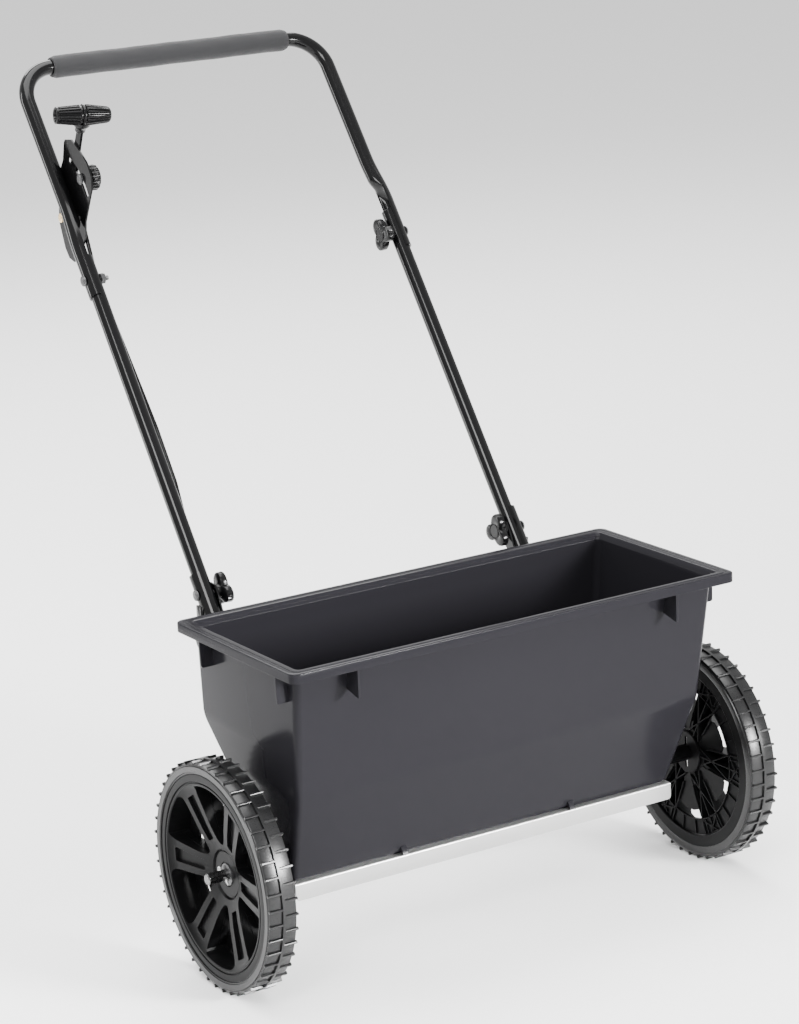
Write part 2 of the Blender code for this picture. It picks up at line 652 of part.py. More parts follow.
def build_stand():
    foot_z = PAD_H
    top = Vector((-STAND_X, STAND_Y, 0.330))
    shoulder = Vector((-STAND_X, STAND_Y, 0.316))
    knee = Vector((-STAND_LEG_X, STAND_Y, 0.262))
    corner = Vector((-STAND_LEG_X, STAND_Y, foot_z))
    other = Vector((STAND_LEG_X, STAND_Y, foot_z))
    path = [top] + bend(shoulder, top, knee, 0.030) + bend(knee, shoulder, corner, 0.030)
    path += bend(corner, knee, other, 0.035)
    path += [Vector((-p.x, p.y, p.z)) for p in reversed(path)]
    stand = make("stand_tube", tube(path, TUBE_R, TUBE_BORE, 12, up=(0, 1, 0)), "paint")
    for side in (-1.0, 1.0):
        stations = []
        for z in (0.334, 0.391):
            stations.append((lower_at(z, side * LOWER_X), ALONG, CRUSH_IN_R, 0.0116))
        join(stand, half_pipe(stations, side))
        x0, x1 = sorted((side * 0.2140, side * 0.2178))
        join(stand, box((x0, 0.1915, 0.3180), (x1, 0.2060, 0.3600)))
    holes = bmesh.new()
    for side in (-1.0, 1.0):
        add_turned(holes, (side * 0.200, JOINT_LOW.x, JOINT_LOW.y), (side, 0, 0), ((0.0, HOLE_R), (0.02, HOLE_R)), 10)
    cut(stand, holes)
    for side, name in ((-1.0, "left"), (1.0, "right")):
        x0, x1 = sorted((side * 0.085, side * 0.125))
        c = PAD_H
        outline = ((STAND_Y - c, 0.0), (STAND_Y + c, 0.0), (STAND_Y + c, c), (STAND_Y + 0.008, 2 * c - 0.001),
                   (STAND_Y - 0.008, 2 * c - 0.001), (STAND_Y - c, c))
        pad = make("foot_pad_" + name, side_prism(outline, x0, x1), "rubber", smooth=False)
        cut(pad, turned((x0 - 0.002, STAND_Y, PAD_H), (1, 0, 0), ((0.0, 0.0091), (0.05, 0.0091)), 16))


def build_bolt(name, side, joint, head_x, tip_x):
    profile = ((-tip_x, BOLT_R), (-head_x, BOLT_R), (-head_x, 0.0065), (-head_x - 0.0018, 0.0058),
               (-head_x - 0.0028, 0.0030))
    bolt = turned((0, joint.x, joint.y), (-side, 0, 0), profile, 12)
    make(name, bolt, "zinc", origin=(side * head_x, joint.x, joint.y))


def build_knob(name, centre, axis, radius, depth):
    """Three-lobed hand knob; the axis points away from the clamped face."""
    axis = Vector(axis).normalized()
    u, v = Vector((0, 1, 0)), Vector((0, 0, 1))
    waist = radius * 0.42
    stations = ((0.0, waist, 0.0), (depth * 0.30, waist, 0.0), (depth * 0.34, radius * 0.93, 1.0),
                (depth * 0.92, radius, 1.0), (depth, radius * 0.9, 1.0), (depth, HOLE_R, 0.0), (0.0, HOLE_R, 0.0))
    rings = []
    for along, reach, lobed in stations:
        ring = []
        for i in range(24):
            a = 2.0 * math.pi * i / 24 + math.pi / 2.0
            r = reach * (1.0 - lobed * 0.26 * (1.0 - math.cos(3.0 * (a - math.pi / 2.0))))
            ring.append(Vector(centre) + axis * along + u * (r * math.cos(a)) + v * (r * math.sin(a)))
        rings.append(ring)
    bm = bmesh.new()
    skin(bm, rings, closed=True)
    make(name, bm, "plastic", origin=centre)


def build_joints():
    for side, name in ((-1.0, "left"), (1.0, "right")):
        build_bolt("upper_bolt_" + name, side, JOINT_UP, 0.2158, 0.1855)
        build_bolt("lower_bolt_" + name, side, JOINT_LOW, 0.2165, 0.1800)
        centre = (side * 0.1930, JOINT_LOW.x, JOINT_LOW.y)
        build_knob("lower_knob_" + name, centre, (-side, 0, 0), 0.0205, 0.0140)
    build_knob("upper_knob_right", (0.1953, JOINT_UP.x, JOINT_UP.y), (-1, 0, 0), 0.0205, 0.0150)
    nut = ((0.1903, NUT_BORE), (0.1903, 0.0064), (0.1952, 0.0064), (0.1952, NUT_BORE))
    make("upper_nut_left", turned_ring((0, JOINT_UP.x, JOINT_UP.y), (-1, 0, 0), nut, 6), "zinc",
         origin=(-0.1928, JOINT_UP.x, JOINT_UP.y), smooth=False)


# ---------------------------------------------------------------- rate lever
def build_lever_plate():
    outline = ((0.4986, 0.8482), (0.4827, 0.8496), (0.4636, 0.8387), (0.4470, 0.8265), (0.4385, 0.8120),
               (0.4390, 0.7960), (0.4466, 0.7830), (0.4614, 0.7565), (0.4642, 0.7391), (0.4849, 0.7087),
               (0.4985, 0.7053), (0.5110, 0.7088), (0.5197, 0.7194), (0.5300, 0.7475), (0.5290, 0.7645),
               (0.5177, 0.8111), (0.5079, 0.8234), (0.5018, 0.8445))
    plate = make("lever_plate", side_prism(outline, *PLATE_X), "paint", smooth=False)
    slot = []
    steps = 8
    for radius, order in ((SLOT_R + HOLE_R, range(steps + 1)), (SLOT_R - HOLE_R, reversed(range(steps + 1)))):
        for i in order:
            slot.append(polar(SLOT_FROM + (SLOT_TO - SLOT_FROM) * i / steps, radius))
    cut(plate, side_prism(slot, PLATE_X[0] - 0.001, PLATE_X[1] + 0.001))
    holes = bmesh.new()
    for y, z in (PIVOT, SCREW):
        add_turned(holes, (-0.196, y, z), (1, 0, 0), ((0.0, HOLE_R), (0.008, HOLE_R)), 10)
    cut(plate, holes)
    bolt = ((-0.1978, 0.0035), (-0.1968, 0.0055), (-0.1936, 0.0055), (-0.1936, BOLT_R), (-0.1845, BOLT_R))
    make("lever_pivot_bolt", turned((0, PIVOT.x, PIVOT.y), (1, 0, 0), bolt, 12), "brass",
         origin=(-0.1936, PIVOT.x, PIVOT.y))
    nut = ((-0.1874, NUT_BORE), (-0.1874, 0.0058), (-0.1834, 0.0058), (-0.1834, NUT_BORE))
    make("lever_pivot_nut", turned_ring((0, PIVOT.x, PIVOT.y), (1, 0, 0), nut, 6), "zinc",
         origin=(-0.1854, PIVOT.x, PIVOT.y), smooth=False)
    screw = ((-0.1980, 0.0026), (-0.1909, 0.0026), (-0.1909, 0.0048), (-0.1888, 0.0040))
    make("plate_screw", turned((0, SCREW.x, SCREW.y), (1, 0, 0), screw, 10), "zinc",
         origin=(-0.1909, SCREW.x, SCREW.y))


def build_lever():
    x0, x1 = LEVER_X
    grip_end = polar(LEVER_ANGLE, LEVER_LEN)
    bm = side_prism(capsule(PIVOT, grip_end, 0.0100, 0.0050), x0, x1)
    lever = make("lever", bm, "paint", origin=(0.5 * (x0 + x1), PIVOT.x, PIVOT.y))
    join(lever, side_prism(capsule(PIVOT, polar(ARM_ANGLE, ARM_LEN + 0.002), 0.0102, 0.0065), x0, x1))
    holes = bmesh.new()
    add_turned(holes, (-0.195, PIVOT.x, PIVOT.y), (1, 0, 0), ((0.0, HOLE_R), (0.010, HOLE_R)), 12)
    low, high = polar(ARM_ANGLE, ARM_LEN - 0.0015), polar(ARM_ANGLE, ARM_LEN + 0.0010)
    slot = capsule(low, high, ROD_R + 0.0004, ROD_R + 0.0004, 5)
    add_prism(holes, slot, (-0.195, 0, 0), (0.010, 0, 0), Vector((0, 1, 0)), Vector((0, 0, 1)))
    cut(lever, holes)
    x = 0.5 * (x0 + x1)
    centre = Vector((x, *polar(LEVER_ANGLE, 0.1405)))
    yaw, tilt = math.radians(-10.0), math.radians(-4.5)
    axis = Vector((math.cos(yaw) * math.cos(tilt), math.sin(yaw) * math.cos(tilt), math.sin(tilt)))
    profile = ((-0.0325, 0.0085), (-0.0320, 0.0096), (-0.0030, 0.0120), (0.0, 0.0128), (0.0030, 0.0120),
               (0.0300, 0.0088), (0.0325, 0.0060))
    grip = make("lever_grip", turned(centre, axis, profile, 16), "plastic", origin=centre)
    low = Vector((x, *polar(LEVER_ANGLE, 0.1190)))
    neck = ((0.0, 0.0072), (0.0060, 0.0072), (0.0150, 0.0095))
    join(grip, turned(low, centre - low, neck, 12))
    u = (Vector((0, *grip_end)) - Vector((0, PIVOT.x, PIVOT.y))).normalized()
    v = Vector((1, 0, 0)).cross(u)
    socket = bmesh.new()
    outline = ((-0.004, -0.0060), (0.0140, -0.0060), (0.0140, 0.0060), (-0.004, 0.0060))
    add_prism(socket, outline, low + Vector((-0.0019, 0, 0)), (0.0038, 0, 0), u, v)
    cut(grip, socket)


def build_rate_stop():
    y, z = polar(STOP_ANGLE, SLOT_R)
    bolt = ((-0.1966, 0.0045), (-0.1958, 0.0065), (-0.1936, 0.0065), (-0.1936, 0.0029), (-0.1750, 0.0029))
    make("rate_stop_bolt", turned((0, y, z), (1, 0, 0), bolt, 12), "zinc", origin=(-0.19, PIVOT.x, PIVOT.y))
    build_knob("rate_stop_knob", (-0.1872, y, z), (1, 0, 0), 0.0170, 0.0135)


def build_control_rod():
    x_top, x_run = -0.1842, -0.1880
    arm = polar(ARM_ANGLE, ARM_LEN)
    top = Vector((x_top, arm[0], arm[1]))
    foot = CRANK_P + Vector((-CRANK_ARM, 0.0, 0.0))
    path = [Vector((LEVER_X[0] + 0.0004, arm[0], arm[1])), top + Vector((-0.0014, 0.0, 0.0))]
    path += [top - ALONG * 0.0014]
    path += [lower_at(0.700, -0.1905) + ACROSS * 0.0180]
    for z, x, behind in ((0.625, -0.1892, 0.0130), (0.540, x_run, 0.0088), (0.485, x_run, 0.0105),
                         (0.425, x_run, 0.0262), (0.300, x_run, 0.0262)):
        path.append(lower_at(z, x) + ACROSS * behind)
    path += [foot + ACROSS * 0.0048 + ALONG * 0.0016, foot + ACROSS * 0.0032, foot - ACROSS * 0.0032]
    rod = bar(path, ROD_R, 8, up=(0.0, 1.0, 0.2))
    make("control_rod", rod, "zinc", origin=foot)


def main():
    clear_scene()
    build_hopper()
    build_gate()
    build_crank()
    build_axle()
    for side, name in ((-1.0, "left"), (1.0, "right")):
        build_hopper_brackets(side, name)
        build_lower_tube(side, name)
    build_upper_handle()
    build_stand()
    build_joints()
    build_lever_plate()
    build_lever()
    build_rate_stop()
    build_control_rod()


main()
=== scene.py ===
"""Looks of a walk-behind drop spreader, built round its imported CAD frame.

Every size is in metres. Pieces are drawn from the frame's own boxes, so they sit where the CAD parts are:
+X runs along the axle, +Y back towards the handle and +Z up.
"""

import json
import math

import bmesh
import bpy
from bpy.props import FloatProperty, FloatVectorProperty, IntProperty, PointerProperty
from mathutils import Matrix, Vector

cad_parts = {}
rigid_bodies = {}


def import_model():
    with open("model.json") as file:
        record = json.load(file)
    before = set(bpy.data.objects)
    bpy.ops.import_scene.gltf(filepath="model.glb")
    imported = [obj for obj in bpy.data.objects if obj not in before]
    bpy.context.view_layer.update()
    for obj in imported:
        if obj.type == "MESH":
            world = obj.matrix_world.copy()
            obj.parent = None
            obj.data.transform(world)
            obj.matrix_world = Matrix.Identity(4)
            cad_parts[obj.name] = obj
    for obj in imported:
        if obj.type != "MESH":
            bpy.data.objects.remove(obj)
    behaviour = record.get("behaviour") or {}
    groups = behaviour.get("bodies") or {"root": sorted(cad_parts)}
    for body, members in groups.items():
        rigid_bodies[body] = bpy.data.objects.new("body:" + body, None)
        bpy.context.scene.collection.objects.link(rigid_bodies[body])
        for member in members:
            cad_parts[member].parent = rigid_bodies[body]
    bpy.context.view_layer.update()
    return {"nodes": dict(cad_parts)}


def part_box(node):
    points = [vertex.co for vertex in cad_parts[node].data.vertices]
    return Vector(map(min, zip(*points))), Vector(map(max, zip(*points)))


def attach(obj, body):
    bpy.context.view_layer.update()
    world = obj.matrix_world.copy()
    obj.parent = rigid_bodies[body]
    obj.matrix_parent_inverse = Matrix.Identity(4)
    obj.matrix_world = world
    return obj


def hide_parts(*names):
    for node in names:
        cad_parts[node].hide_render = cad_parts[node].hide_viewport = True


bl_info = {
    "name": "Drop Spreader",
    "version": (1, 0, 0),
    "blender": (4, 5, 0),
    "location": "View3D > Sidebar > Spreader",
    "description": "Builds the hopper, wheels, handle, lever and finishes of a walk-behind drop spreader",
    "category": "Add Mesh",
}

for leftover in list(bpy.data.objects):
    bpy.data.objects.remove(leftover, do_unlink=True)
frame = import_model()


# ---------------------------------------------------------------- places taken from the frame
def low(node):
    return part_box(node)[0]


def high(node):
    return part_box(node)[1]


def middle(node):
    return (low(node) + high(node)) / 2.0


AXLE = middle("axle")
WHEEL_RADIUS = high("tyre_left").z / 2.0
WHEEL_WIDTH = high("tyre_right").x - low("tyre_right").x
RIM_HALF_X = high("hopper").x
RIM_TOP = high("hopper").z
RIM_FRONT = low("hopper").y
RIM_BACK = high("hopper").y
FLOOR_LOW = low("hopper").z
TUBE_RADIUS = (high("lower_tube_left").x - low("lower_tube_left").x) / 2.0
LOWER_X = middle("lower_tube_right").x
GRIP_CENTRE = middle("foam_grip")
GRIP_HALF = high("foam_grip").x
GRIP_RADIUS = (high("foam_grip").z - low("foam_grip").z) / 2.0
UPPER_JOINT = middle("upper_bolt_right")
LOWER_JOINT = middle("lower_bolt_right")
ALONG = UPPER_JOINT - LOWER_JOINT
ALONG.x = 0.0
ALONG.normalize()
ACROSS = Vector((0.0, ALONG.z, -ALONG.y))
UP = Vector((0.0, 0.0, 1.0))
RIGHT = Vector((1.0, 0.0, 0.0))
BACK = Vector((0.0, 1.0, 0.0))


# ---------------------------------------------------------------- settings
class SpreaderHopperSettings(bpy.types.PropertyGroup):
    wall: FloatProperty(name="Wall", description="Thickness of the moulded wall", unit="LENGTH",
                        default=0.0025)
    corner: FloatProperty(name="Corner", description="Radius of the upright corners", unit="LENGTH",
                          default=0.008)
    fold_soft: FloatProperty(name="Fold", description="Softness of the crease across the walls",
                             unit="LENGTH", default=0.007)
    ports: IntProperty(name="Ports", description="Number of outlets in the floor", default=12)


class SpreaderWheelSettings(bpy.types.PropertyGroup):
    radius: FloatProperty(name="Radius", description="Radius over the lugs", unit="LENGTH",
                          default=WHEEL_RADIUS)
    width: FloatProperty(name="Width", description="Width of the wheel", unit="LENGTH", default=WHEEL_WIDTH)
    lug_height: FloatProperty(name="Lug height", description="How far the lugs stand up", unit="LENGTH",
                              default=0.0026)
    lugs: IntProperty(name="Lugs", description="Lugs in each of the two rows", default=46)
    spokes: IntProperty(name="Spokes", description="Number of spokes", default=6)


class SpreaderHandleSettings(bpy.types.PropertyGroup):
    tube_radius: FloatProperty(name="Tube radius", description="Radius of the handle tube", unit="LENGTH",
                               default=TUBE_RADIUS)
    bend_radius: FloatProperty(name="Bend radius", description="Radius of the two top bends", unit="LENGTH",
                               default=0.044)
    crush_length: FloatProperty(name="Crush length", description="Length of the flattened end", unit="LENGTH",
                                default=0.066)


class SpreaderFinishSettings(bpy.types.PropertyGroup):
    hopper: FloatVectorProperty(name="Hopper", description="Colour of the hopper", subtype="COLOR",
                                default=(0.0108, 0.0104, 0.0124))
    paint: FloatVectorProperty(name="Paint", description="Colour of the painted tubes", subtype="COLOR",
                               default=(0.0022, 0.0022, 0.0024))
    plastic: FloatVectorProperty(name="Plastic", description="Colour of the moulded wheels and knobs",
                                 subtype="COLOR", default=(0.0032, 0.0032, 0.0034))
    foam: FloatVectorProperty(name="Foam", description="Colour of the foam grip", subtype="COLOR",
                              default=(0.0085, 0.0085, 0.0096))
    strip: FloatVectorProperty(name="Gate", description="Colour of the gate strip", subtype="COLOR",
                               default=(0.44, 0.44, 0.435))


class SpreaderStageSettings(bpy.types.PropertyGroup):
    lens: FloatProperty(name="Lens", description="Focal length of the camera in millimetres", default=111.47)
    turn: FloatProperty(name="Turn", description="Camera heading in degrees", default=-31.12)
    pitch: FloatProperty(name="Pitch", description="Camera tilt below level in degrees", default=14.68)
    roll: FloatProperty(name="Roll", description="Camera roll in degrees", default=-3.08)


GROUPS = {
    "spreader_hopper": SpreaderHopperSettings,
    "spreader_wheel": SpreaderWheelSettings,
    "spreader_handle": SpreaderHandleSettings,
    "spreader_finish": SpreaderFinishSettings,
    "spreader_stage": SpreaderStageSettings,
}


# ---------------------------------------------------------------- materials
def new_material(name):
    mat = bpy.data.materials.new(name)
    mat.use_nodes = True
    return mat, mat.node_tree.nodes, mat.node_tree.links


def add_noise(nodes, links, scale, detail=4.0, rough=0.55, stretch=None):
    coords = nodes.new("ShaderNodeTexCoord")
    noise = nodes.new("ShaderNodeTexNoise")
    noise.inputs["Scale"].default_value = scale
    noise.inputs["Detail"].default_value = detail
    noise.inputs["Roughness"].default_value = rough
    if stretch is None:
        links.new(coords.outputs["Object"], noise.inputs["Vector"])
    else:
        mapping = nodes.new("ShaderNodeMapping")
        mapping.inputs["Scale"].default_value = stretch
        links.new(coords.outputs["Object"], mapping.inputs["Vector"])
        links.new(mapping.outputs["Vector"], noise.inputs["Vector"])
    return noise


def spread(nodes, links, value, from_min, from_max, to_min, to_max):
    node = nodes.new("ShaderNodeMapRange")
    node.inputs["From Min"].default_value = from_min
    node.inputs["From Max"].default_value = from_max
    node.inputs["To Min"].default_value = to_min
    node.inputs["To Max"].default_value = to_max
    links.new(value, node.inputs["Value"])
    return node.outputs["Result"]


def tint(nodes, links, factor, first, second):
    node = nodes.new("ShaderNodeMix")
    node.data_type = "RGBA"
    node.inputs["A"].default_value = (*first, 1.0)
    node.inputs["B"].default_value = (*second, 1.0)
    links.new(factor, node.inputs["Factor"])
    return node.outputs["Result"]


def shaded(colour, share):
    return tuple(channel * share for channel in colour)


def finish_material(name, colour, rough, grain, grain_depth, vary, metallic=0.0, cloud=14.0, stretch=None,
                    specular=0.5):
    """Colour, roughness and fine surface relief, all from noise on the piece's own coordinates."""
    mat, nodes, links = new_material(name)
    shader = nodes["Principled BSDF"]
    shader.inputs["Metallic"].default_value = metallic
    shader.inputs["Specular IOR Level"].default_value = specular
    clouds = add_noise(nodes, links, cloud)
    mottled = tint(nodes, links, clouds.outputs["Fac"], shaded(colour, 1.0 - vary),
                   shaded(colour, 1.0 + vary))
    links.new(mottled, shader.inputs["Base Color"])
    fine = add_noise(nodes, links, grain, 2.0, 0.6, stretch)
    rough_out = spread(nodes, links, fine.outputs["Fac"], 0.3, 0.7, rough * 0.88, min(1.0, rough * 1.12))
    links.new(rough_out, shader.inputs["Roughness"])
    bump = nodes.new("ShaderNodeBump")
    bump.inputs["Strength"].default_value = 1.0
    bump.inputs["Distance"].default_value = grain_depth
    links.new(fine.outputs["Fac"], bump.inputs["Height"])
    links.new(bump.outputs["Normal"], shader.inputs["Normal"])
    return mat


def foam_material(name, colour):
    """Closed-cell foam: fine open pores over a soft, faintly mottled skin."""
    mat, nodes, links = new_material(name)
    shader = nodes["Principled BSDF"]
    shader.inputs["Roughness"].default_value = 0.82
    shader.inputs["Sheen Weight"].default_value = 0.08
    shader.inputs["Sheen Roughness"].default_value = 0.5
    clouds = add_noise(nodes, links, 60.0)
    links.new(tint(nodes, links, clouds.outputs["Fac"], shaded(colour, 0.86), shaded(colour, 1.14)),
              shader.inputs["Base Color"])
    coords = nodes.new("ShaderNodeTexCoord")
    cells = nodes.new("ShaderNodeTexVoronoi")
    cells.inputs["Scale"].default_value = 1500.0
    links.new(coords.outputs["Object"], cells.inputs["Vector"])
    bump = nodes.new("ShaderNodeBump")
    bump.inputs["Strength"].default_value = 0.8
    bump.inputs["Distance"].default_value = 0.0002
    links.new(cells.outputs["Distance"], bump.inputs["Height"])
    links.new(bump.outputs["Normal"], shader.inputs["Normal"])
    return mat


# finish: (material's name, colour or the setting that holds it, roughness, finish_material's other arguments)
FINISHES = {
    "hopper": ("moulded_hopper", "hopper", 0.17,
               {"grain": 420.0, "grain_depth": 0.000006, "vary": 0.06, "cloud": 6.0, "specular": 0.05}),
    "paint": ("gloss_black_paint", "paint", 0.13,
              {"grain": 260.0, "grain_depth": 0.000006, "vary": 0.15, "specular": 0.22}),
    "wheel": ("moulded_wheel", "plastic", 0.34,
              {"grain": 1300.0, "grain_depth": 0.00002, "vary": 0.2, "specular": 0.07}),
    "tread": ("moulded_tread", "plastic", 0.30,
              {"grain": 1100.0, "grain_depth": 0.00002, "vary": 0.2, "specular": 0.36}),
    "knob": ("knob_plastic", "plastic", 0.18,
             {"grain": 900.0, "grain_depth": 0.00001, "vary": 0.15, "specular": 0.18}),
    "strip": ("satin_gate_metal", "strip", 0.36,
              {"grain": 700.0, "grain_depth": 0.00001, "vary": 0.04, "metallic": 0.85,
               "stretch": (0.02, 1.0, 1.0)}),
    "zinc": ("zinc_plate", (0.60, 0.60, 0.59), 0.30,
             {"grain": 900.0, "grain_depth": 0.00001, "vary": 0.08, "metallic": 1.0}),
    "dark_zinc": ("black_plated_steel", (0.030, 0.030, 0.031), 0.28,
                  {"grain": 900.0, "grain_depth": 0.00001, "vary": 0.1}),
    "axle": ("turned_axle_steel", (0.16, 0.16, 0.16), 0.26,
             {"grain": 800.0, "grain_depth": 0.00001, "vary": 0.06, "metallic": 1.0,
              "stretch": (6.0, 0.3, 0.3)}),
    "brass": ("yellow_plated_steel", (0.80, 0.60, 0.34), 0.30,
              {"grain": 900.0, "grain_depth": 0.00001, "vary": 0.08, "metallic": 0.9}),
    "rubber": ("pad_rubber", (0.014, 0.014, 0.014), 0.6,
               {"grain": 1200.0, "grain_depth": 0.00004, "vary": 0.2}),
}
_made = {}


def finish(key):
    """The shared finish with this name, made the first time it is asked for."""
    if key not in _made:
        colours = bpy.context.scene.spreader_finish
        if key == "foam":
            _made[key] = foam_material("grip_foam", colours.foam)
        else:
            name, colour, rough, others = FINISHES[key]
            if isinstance(colour, str):
                colour = getattr(colours, colour)
            _made[key] = finish_material(name, colour, rough, **others)
    return _made[key]


# ---------------------------------------------------------------- mesh helpers
def turns(count):
    """Angles spaced evenly round a circle."""
    return [2.0 * math.pi * i / count for i in range(count)]


def loft(bm, rings, closed=False):
    """Extrude the first ring of points through all the others; cap the ends or join them to each other."""
    count = len(rings[0])
    first = [bm.verts.new(point) for point in rings[0]]
    edges = [bm.edges.new((first[i], first[(i + 1) % count])) for i in range(count)]
    loops = [(first, edges)]
    for points in rings[1:]:
        verts, edges = loops[-1]
        known = set(verts)
        grown = bmesh.ops.extrude_edge_only(bm, edges=edges)
        linked = {}
        for vert in (item for item in grown["geom"] if isinstance(item, bmesh.types.BMVert)):
            for edge in vert.link_edges:
                other = edge.other_vert(vert)
                if other in known:
                    linked[other] = vert
        following = [linked[vert] for vert in verts]
        for vert, point in zip(following, points):
            vert.co = point
        edges = [bm.edges.get((following[i], following[(i + 1) % count])) for i in range(count)]
        loops.append((following, edges))
    if closed:
        bmesh.ops.bridge_loops(bm, edges=loops[-1][1] + loops[0][1])
    else:
        bmesh.ops.contextual_create(bm, geom=loops[0][1])
        bmesh.ops.contextual_create(bm, geom=loops[-1][1])
    return loops


def circle_points(centre, u, v, radius, count):
    return [centre + u * (radius * math.cos(t)) + v * (radius * math.sin(t)) for t in turns(count)]


def square_to(axis):
    """Two directions square to an axis and to each other."""
    axis = Vector(axis).normalized()
    start = BACK if abs(axis.x) > 0.9 else RIGHT
    u = (start - axis * start.dot(axis)).normalized()
    return u, axis.cross(u)


def add_turned(bm, centre, axis, profile, count=48, closed=False):
    """Turned shape from (distance along the axis, radius) pairs."""
    axis = Vector(axis).normalized()
    u, v = square_to(axis)
    rings = [circle_points(Vector(centre) + axis * along, u, v, radius, count) for along, radius in profile]
    loft(bm, rings, closed=closed)


def add_block(bm, centre, size, turn=None, taper=1.0, edge=0.0):
    """Small block, its top pinched by taper, with its edges eased."""
    made = bmesh.ops.create_cube(bm, size=1.0)["verts"]
    bmesh.ops.scale(bm, verts=made, vec=size)
    if taper != 1.0:
        top = [vert for vert in made if vert.co.z > 0.0]
        bmesh.ops.scale(bm, verts=top, vec=(1.0, taper, 1.0))
    if edge > 0.0:
        rims = list({item for vert in made for item in vert.link_edges})
        made = bmesh.ops.bevel(bm, geom=rims, offset=edge, offset_type="OFFSET", affect="EDGES", segments=1,
                               profile=0.5, material=-1, clamp_overlap=True)["verts"]
    matrix = Matrix.Translation(centre)
    if turn is not None:
        matrix = matrix @ turn
    bmesh.ops.transform(bm, matrix=matrix, verts=made)


def add_plate(bm, points, along):
    """Flat outline thickened by a vector."""
    verts = [bm.verts.new(point) for point in points]
    face = bm.faces.new(verts)
    grown = bmesh.ops.extrude_face_region(bm, geom=[face])
    moved = [item for item in grown["geom"] if isinstance(item, bmesh.types.BMVert)]
    bmesh.ops.translate(bm, verts=moved, vec=along)


def rounded_path(points, radius, steps=8):
    """The points with each inner corner rounded off."""
    path = [Vector(points[0])]
    for before, corner, after in zip(points, points[1:], points[2:]):
        before, corner, after = Vector(before), Vector(corner), Vector(after)
        a = (before - corner).normalized()
        b = (after - corner).normalized()
        angle = a.angle(b)
        if angle > math.radians(179.5):
            path.append(corner)
            continue
        reach = min(radius / math.tan(angle / 2.0), 0.48 * (before - corner).length,
                    0.48 * (after - corner).length)
        r = reach * math.tan(angle / 2.0)
        centre = corner + (a + b).normalized() * (r / math.sin(angle / 2.0))
        first = corner + a * reach - centre
        last = corner + b * reach - centre
        sweep = first.angle(last)
        square = (last - first * math.cos(sweep)) / math.sin(sweep)
        for i in range(steps + 1):
            t = sweep * i / steps
            path.append(centre + first * math.cos(t) + square * math.sin(t))
    path.append(Vector(points[-1]))
    return path


def carried_frames(path, side):
    """A direction along, and two across, at every point of a path, without twist."""
    frames = []
    side = Vector(side)
    for i, point in enumerate(path):
        parts = []
        if i > 0:
            parts.append((point - path[i - 1]).normalized())
        if i < len(path) - 1:
            parts.append((path[i + 1] - point).normalized())
        tangent = sum(parts, Vector()).normalized()
        side = (side - tangent * side.dot(tangent)).normalized()
        frames.append((point, tangent, side, tangent.cross(side)))
    return frames


def add_tube(bm, path, outer, bore=None, count=32, side=RIGHT):
    """Round bar along a path, or an open tube where a bore is given."""
    frames = carried_frames(path, side)
    rings = [circle_points(point, u, v, outer, count) for point, _, u, v in frames]
    if bore is None:
        loft(bm, rings)
    else:
        lip = min(0.0006, (outer - bore) / 3.0)
        (start, along, u, v), (end, end_along, end_u, end_v) = frames[0], frames[-1]
        rings[0] = circle_points(start, u, v, outer - lip, count)
        rings.insert(1, circle_points(start + along * lip, u, v, outer, count))
        rings[-1] = circle_points(end - end_along * lip, end_u, end_v, outer, count)
        rings.append(circle_points(end, end_u, end_v, outer - lip, count))
        inner = [circle_points(point, u, v, bore, count) for point, _, u, v in reversed(frames)]
        loft(bm, rings + inner, closed=True)


def piece(name, bm, key, body, node, sharp=38.0, bevel=0.0, segments=2):
    """Finish a drawn mesh as a piece that rides on a body and stands for a node of the frame."""
    bmesh.ops.remove_doubles(bm, verts=bm.verts, dist=1e-6)
    bmesh.ops.recalc_face_normals(bm, faces=bm.faces)
    mesh = bpy.data.meshes.new(name)
    bm.to_mesh(mesh)
    bm.free()
    obj = bpy.data.objects.new(name, mesh)
    bpy.context.scene.collection.objects.link(obj)
    mesh.materials.append(finish(key))
    for face in mesh.polygons:
        face.use_smooth = True
    if bevel > 0.0:
        mod = obj.modifiers.new("eased_edges", "BEVEL")
        mod.width = bevel
        mod.segments = segments
        mod.limit_method = "ANGLE"
        mod.angle_limit = math.radians(28.0)
        mod.harden_normals = True
        mod.use_clamp_overlap = True
    else:
        mesh.set_sharp_from_angle(angle=math.radians(sharp))
    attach(obj, body)
    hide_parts(node)
    return obj


def carve_object(name, bm):
    """Temporary object that holds one side of a cut."""
    bmesh.ops.recalc_face_normals(bm, faces=bm.faces)
    mesh = bpy.data.meshes.new(name)
    bm.to_mesh(mesh)
    bm.free()
    obj = bpy.data.objects.new(name, mesh)
    bpy.context.scene.collection.objects.link(obj)
    return obj


def carve(bm, cutter):
    """The mesh in bm with the cutter's shapes taken away."""
    body, tool = carve_object("carve_body", bm), carve_object("carve_tool", cutter)
    mod = body.modifiers.new("cut", "BOOLEAN")
    mod.operation = "DIFFERENCE"
    mod.solver = "EXACT"
    mod.object = tool
    bpy.context.view_layer.update()
    graph = bpy.context.evaluated_depsgraph_get()
    result = bmesh.new()
    result.from_mesh(body.evaluated_get(graph).to_mesh())
    for obj in (body, tool):
        mesh = obj.data
        bpy.data.objects.remove(obj)
        bpy.data.meshes.remove(mesh)
    return result


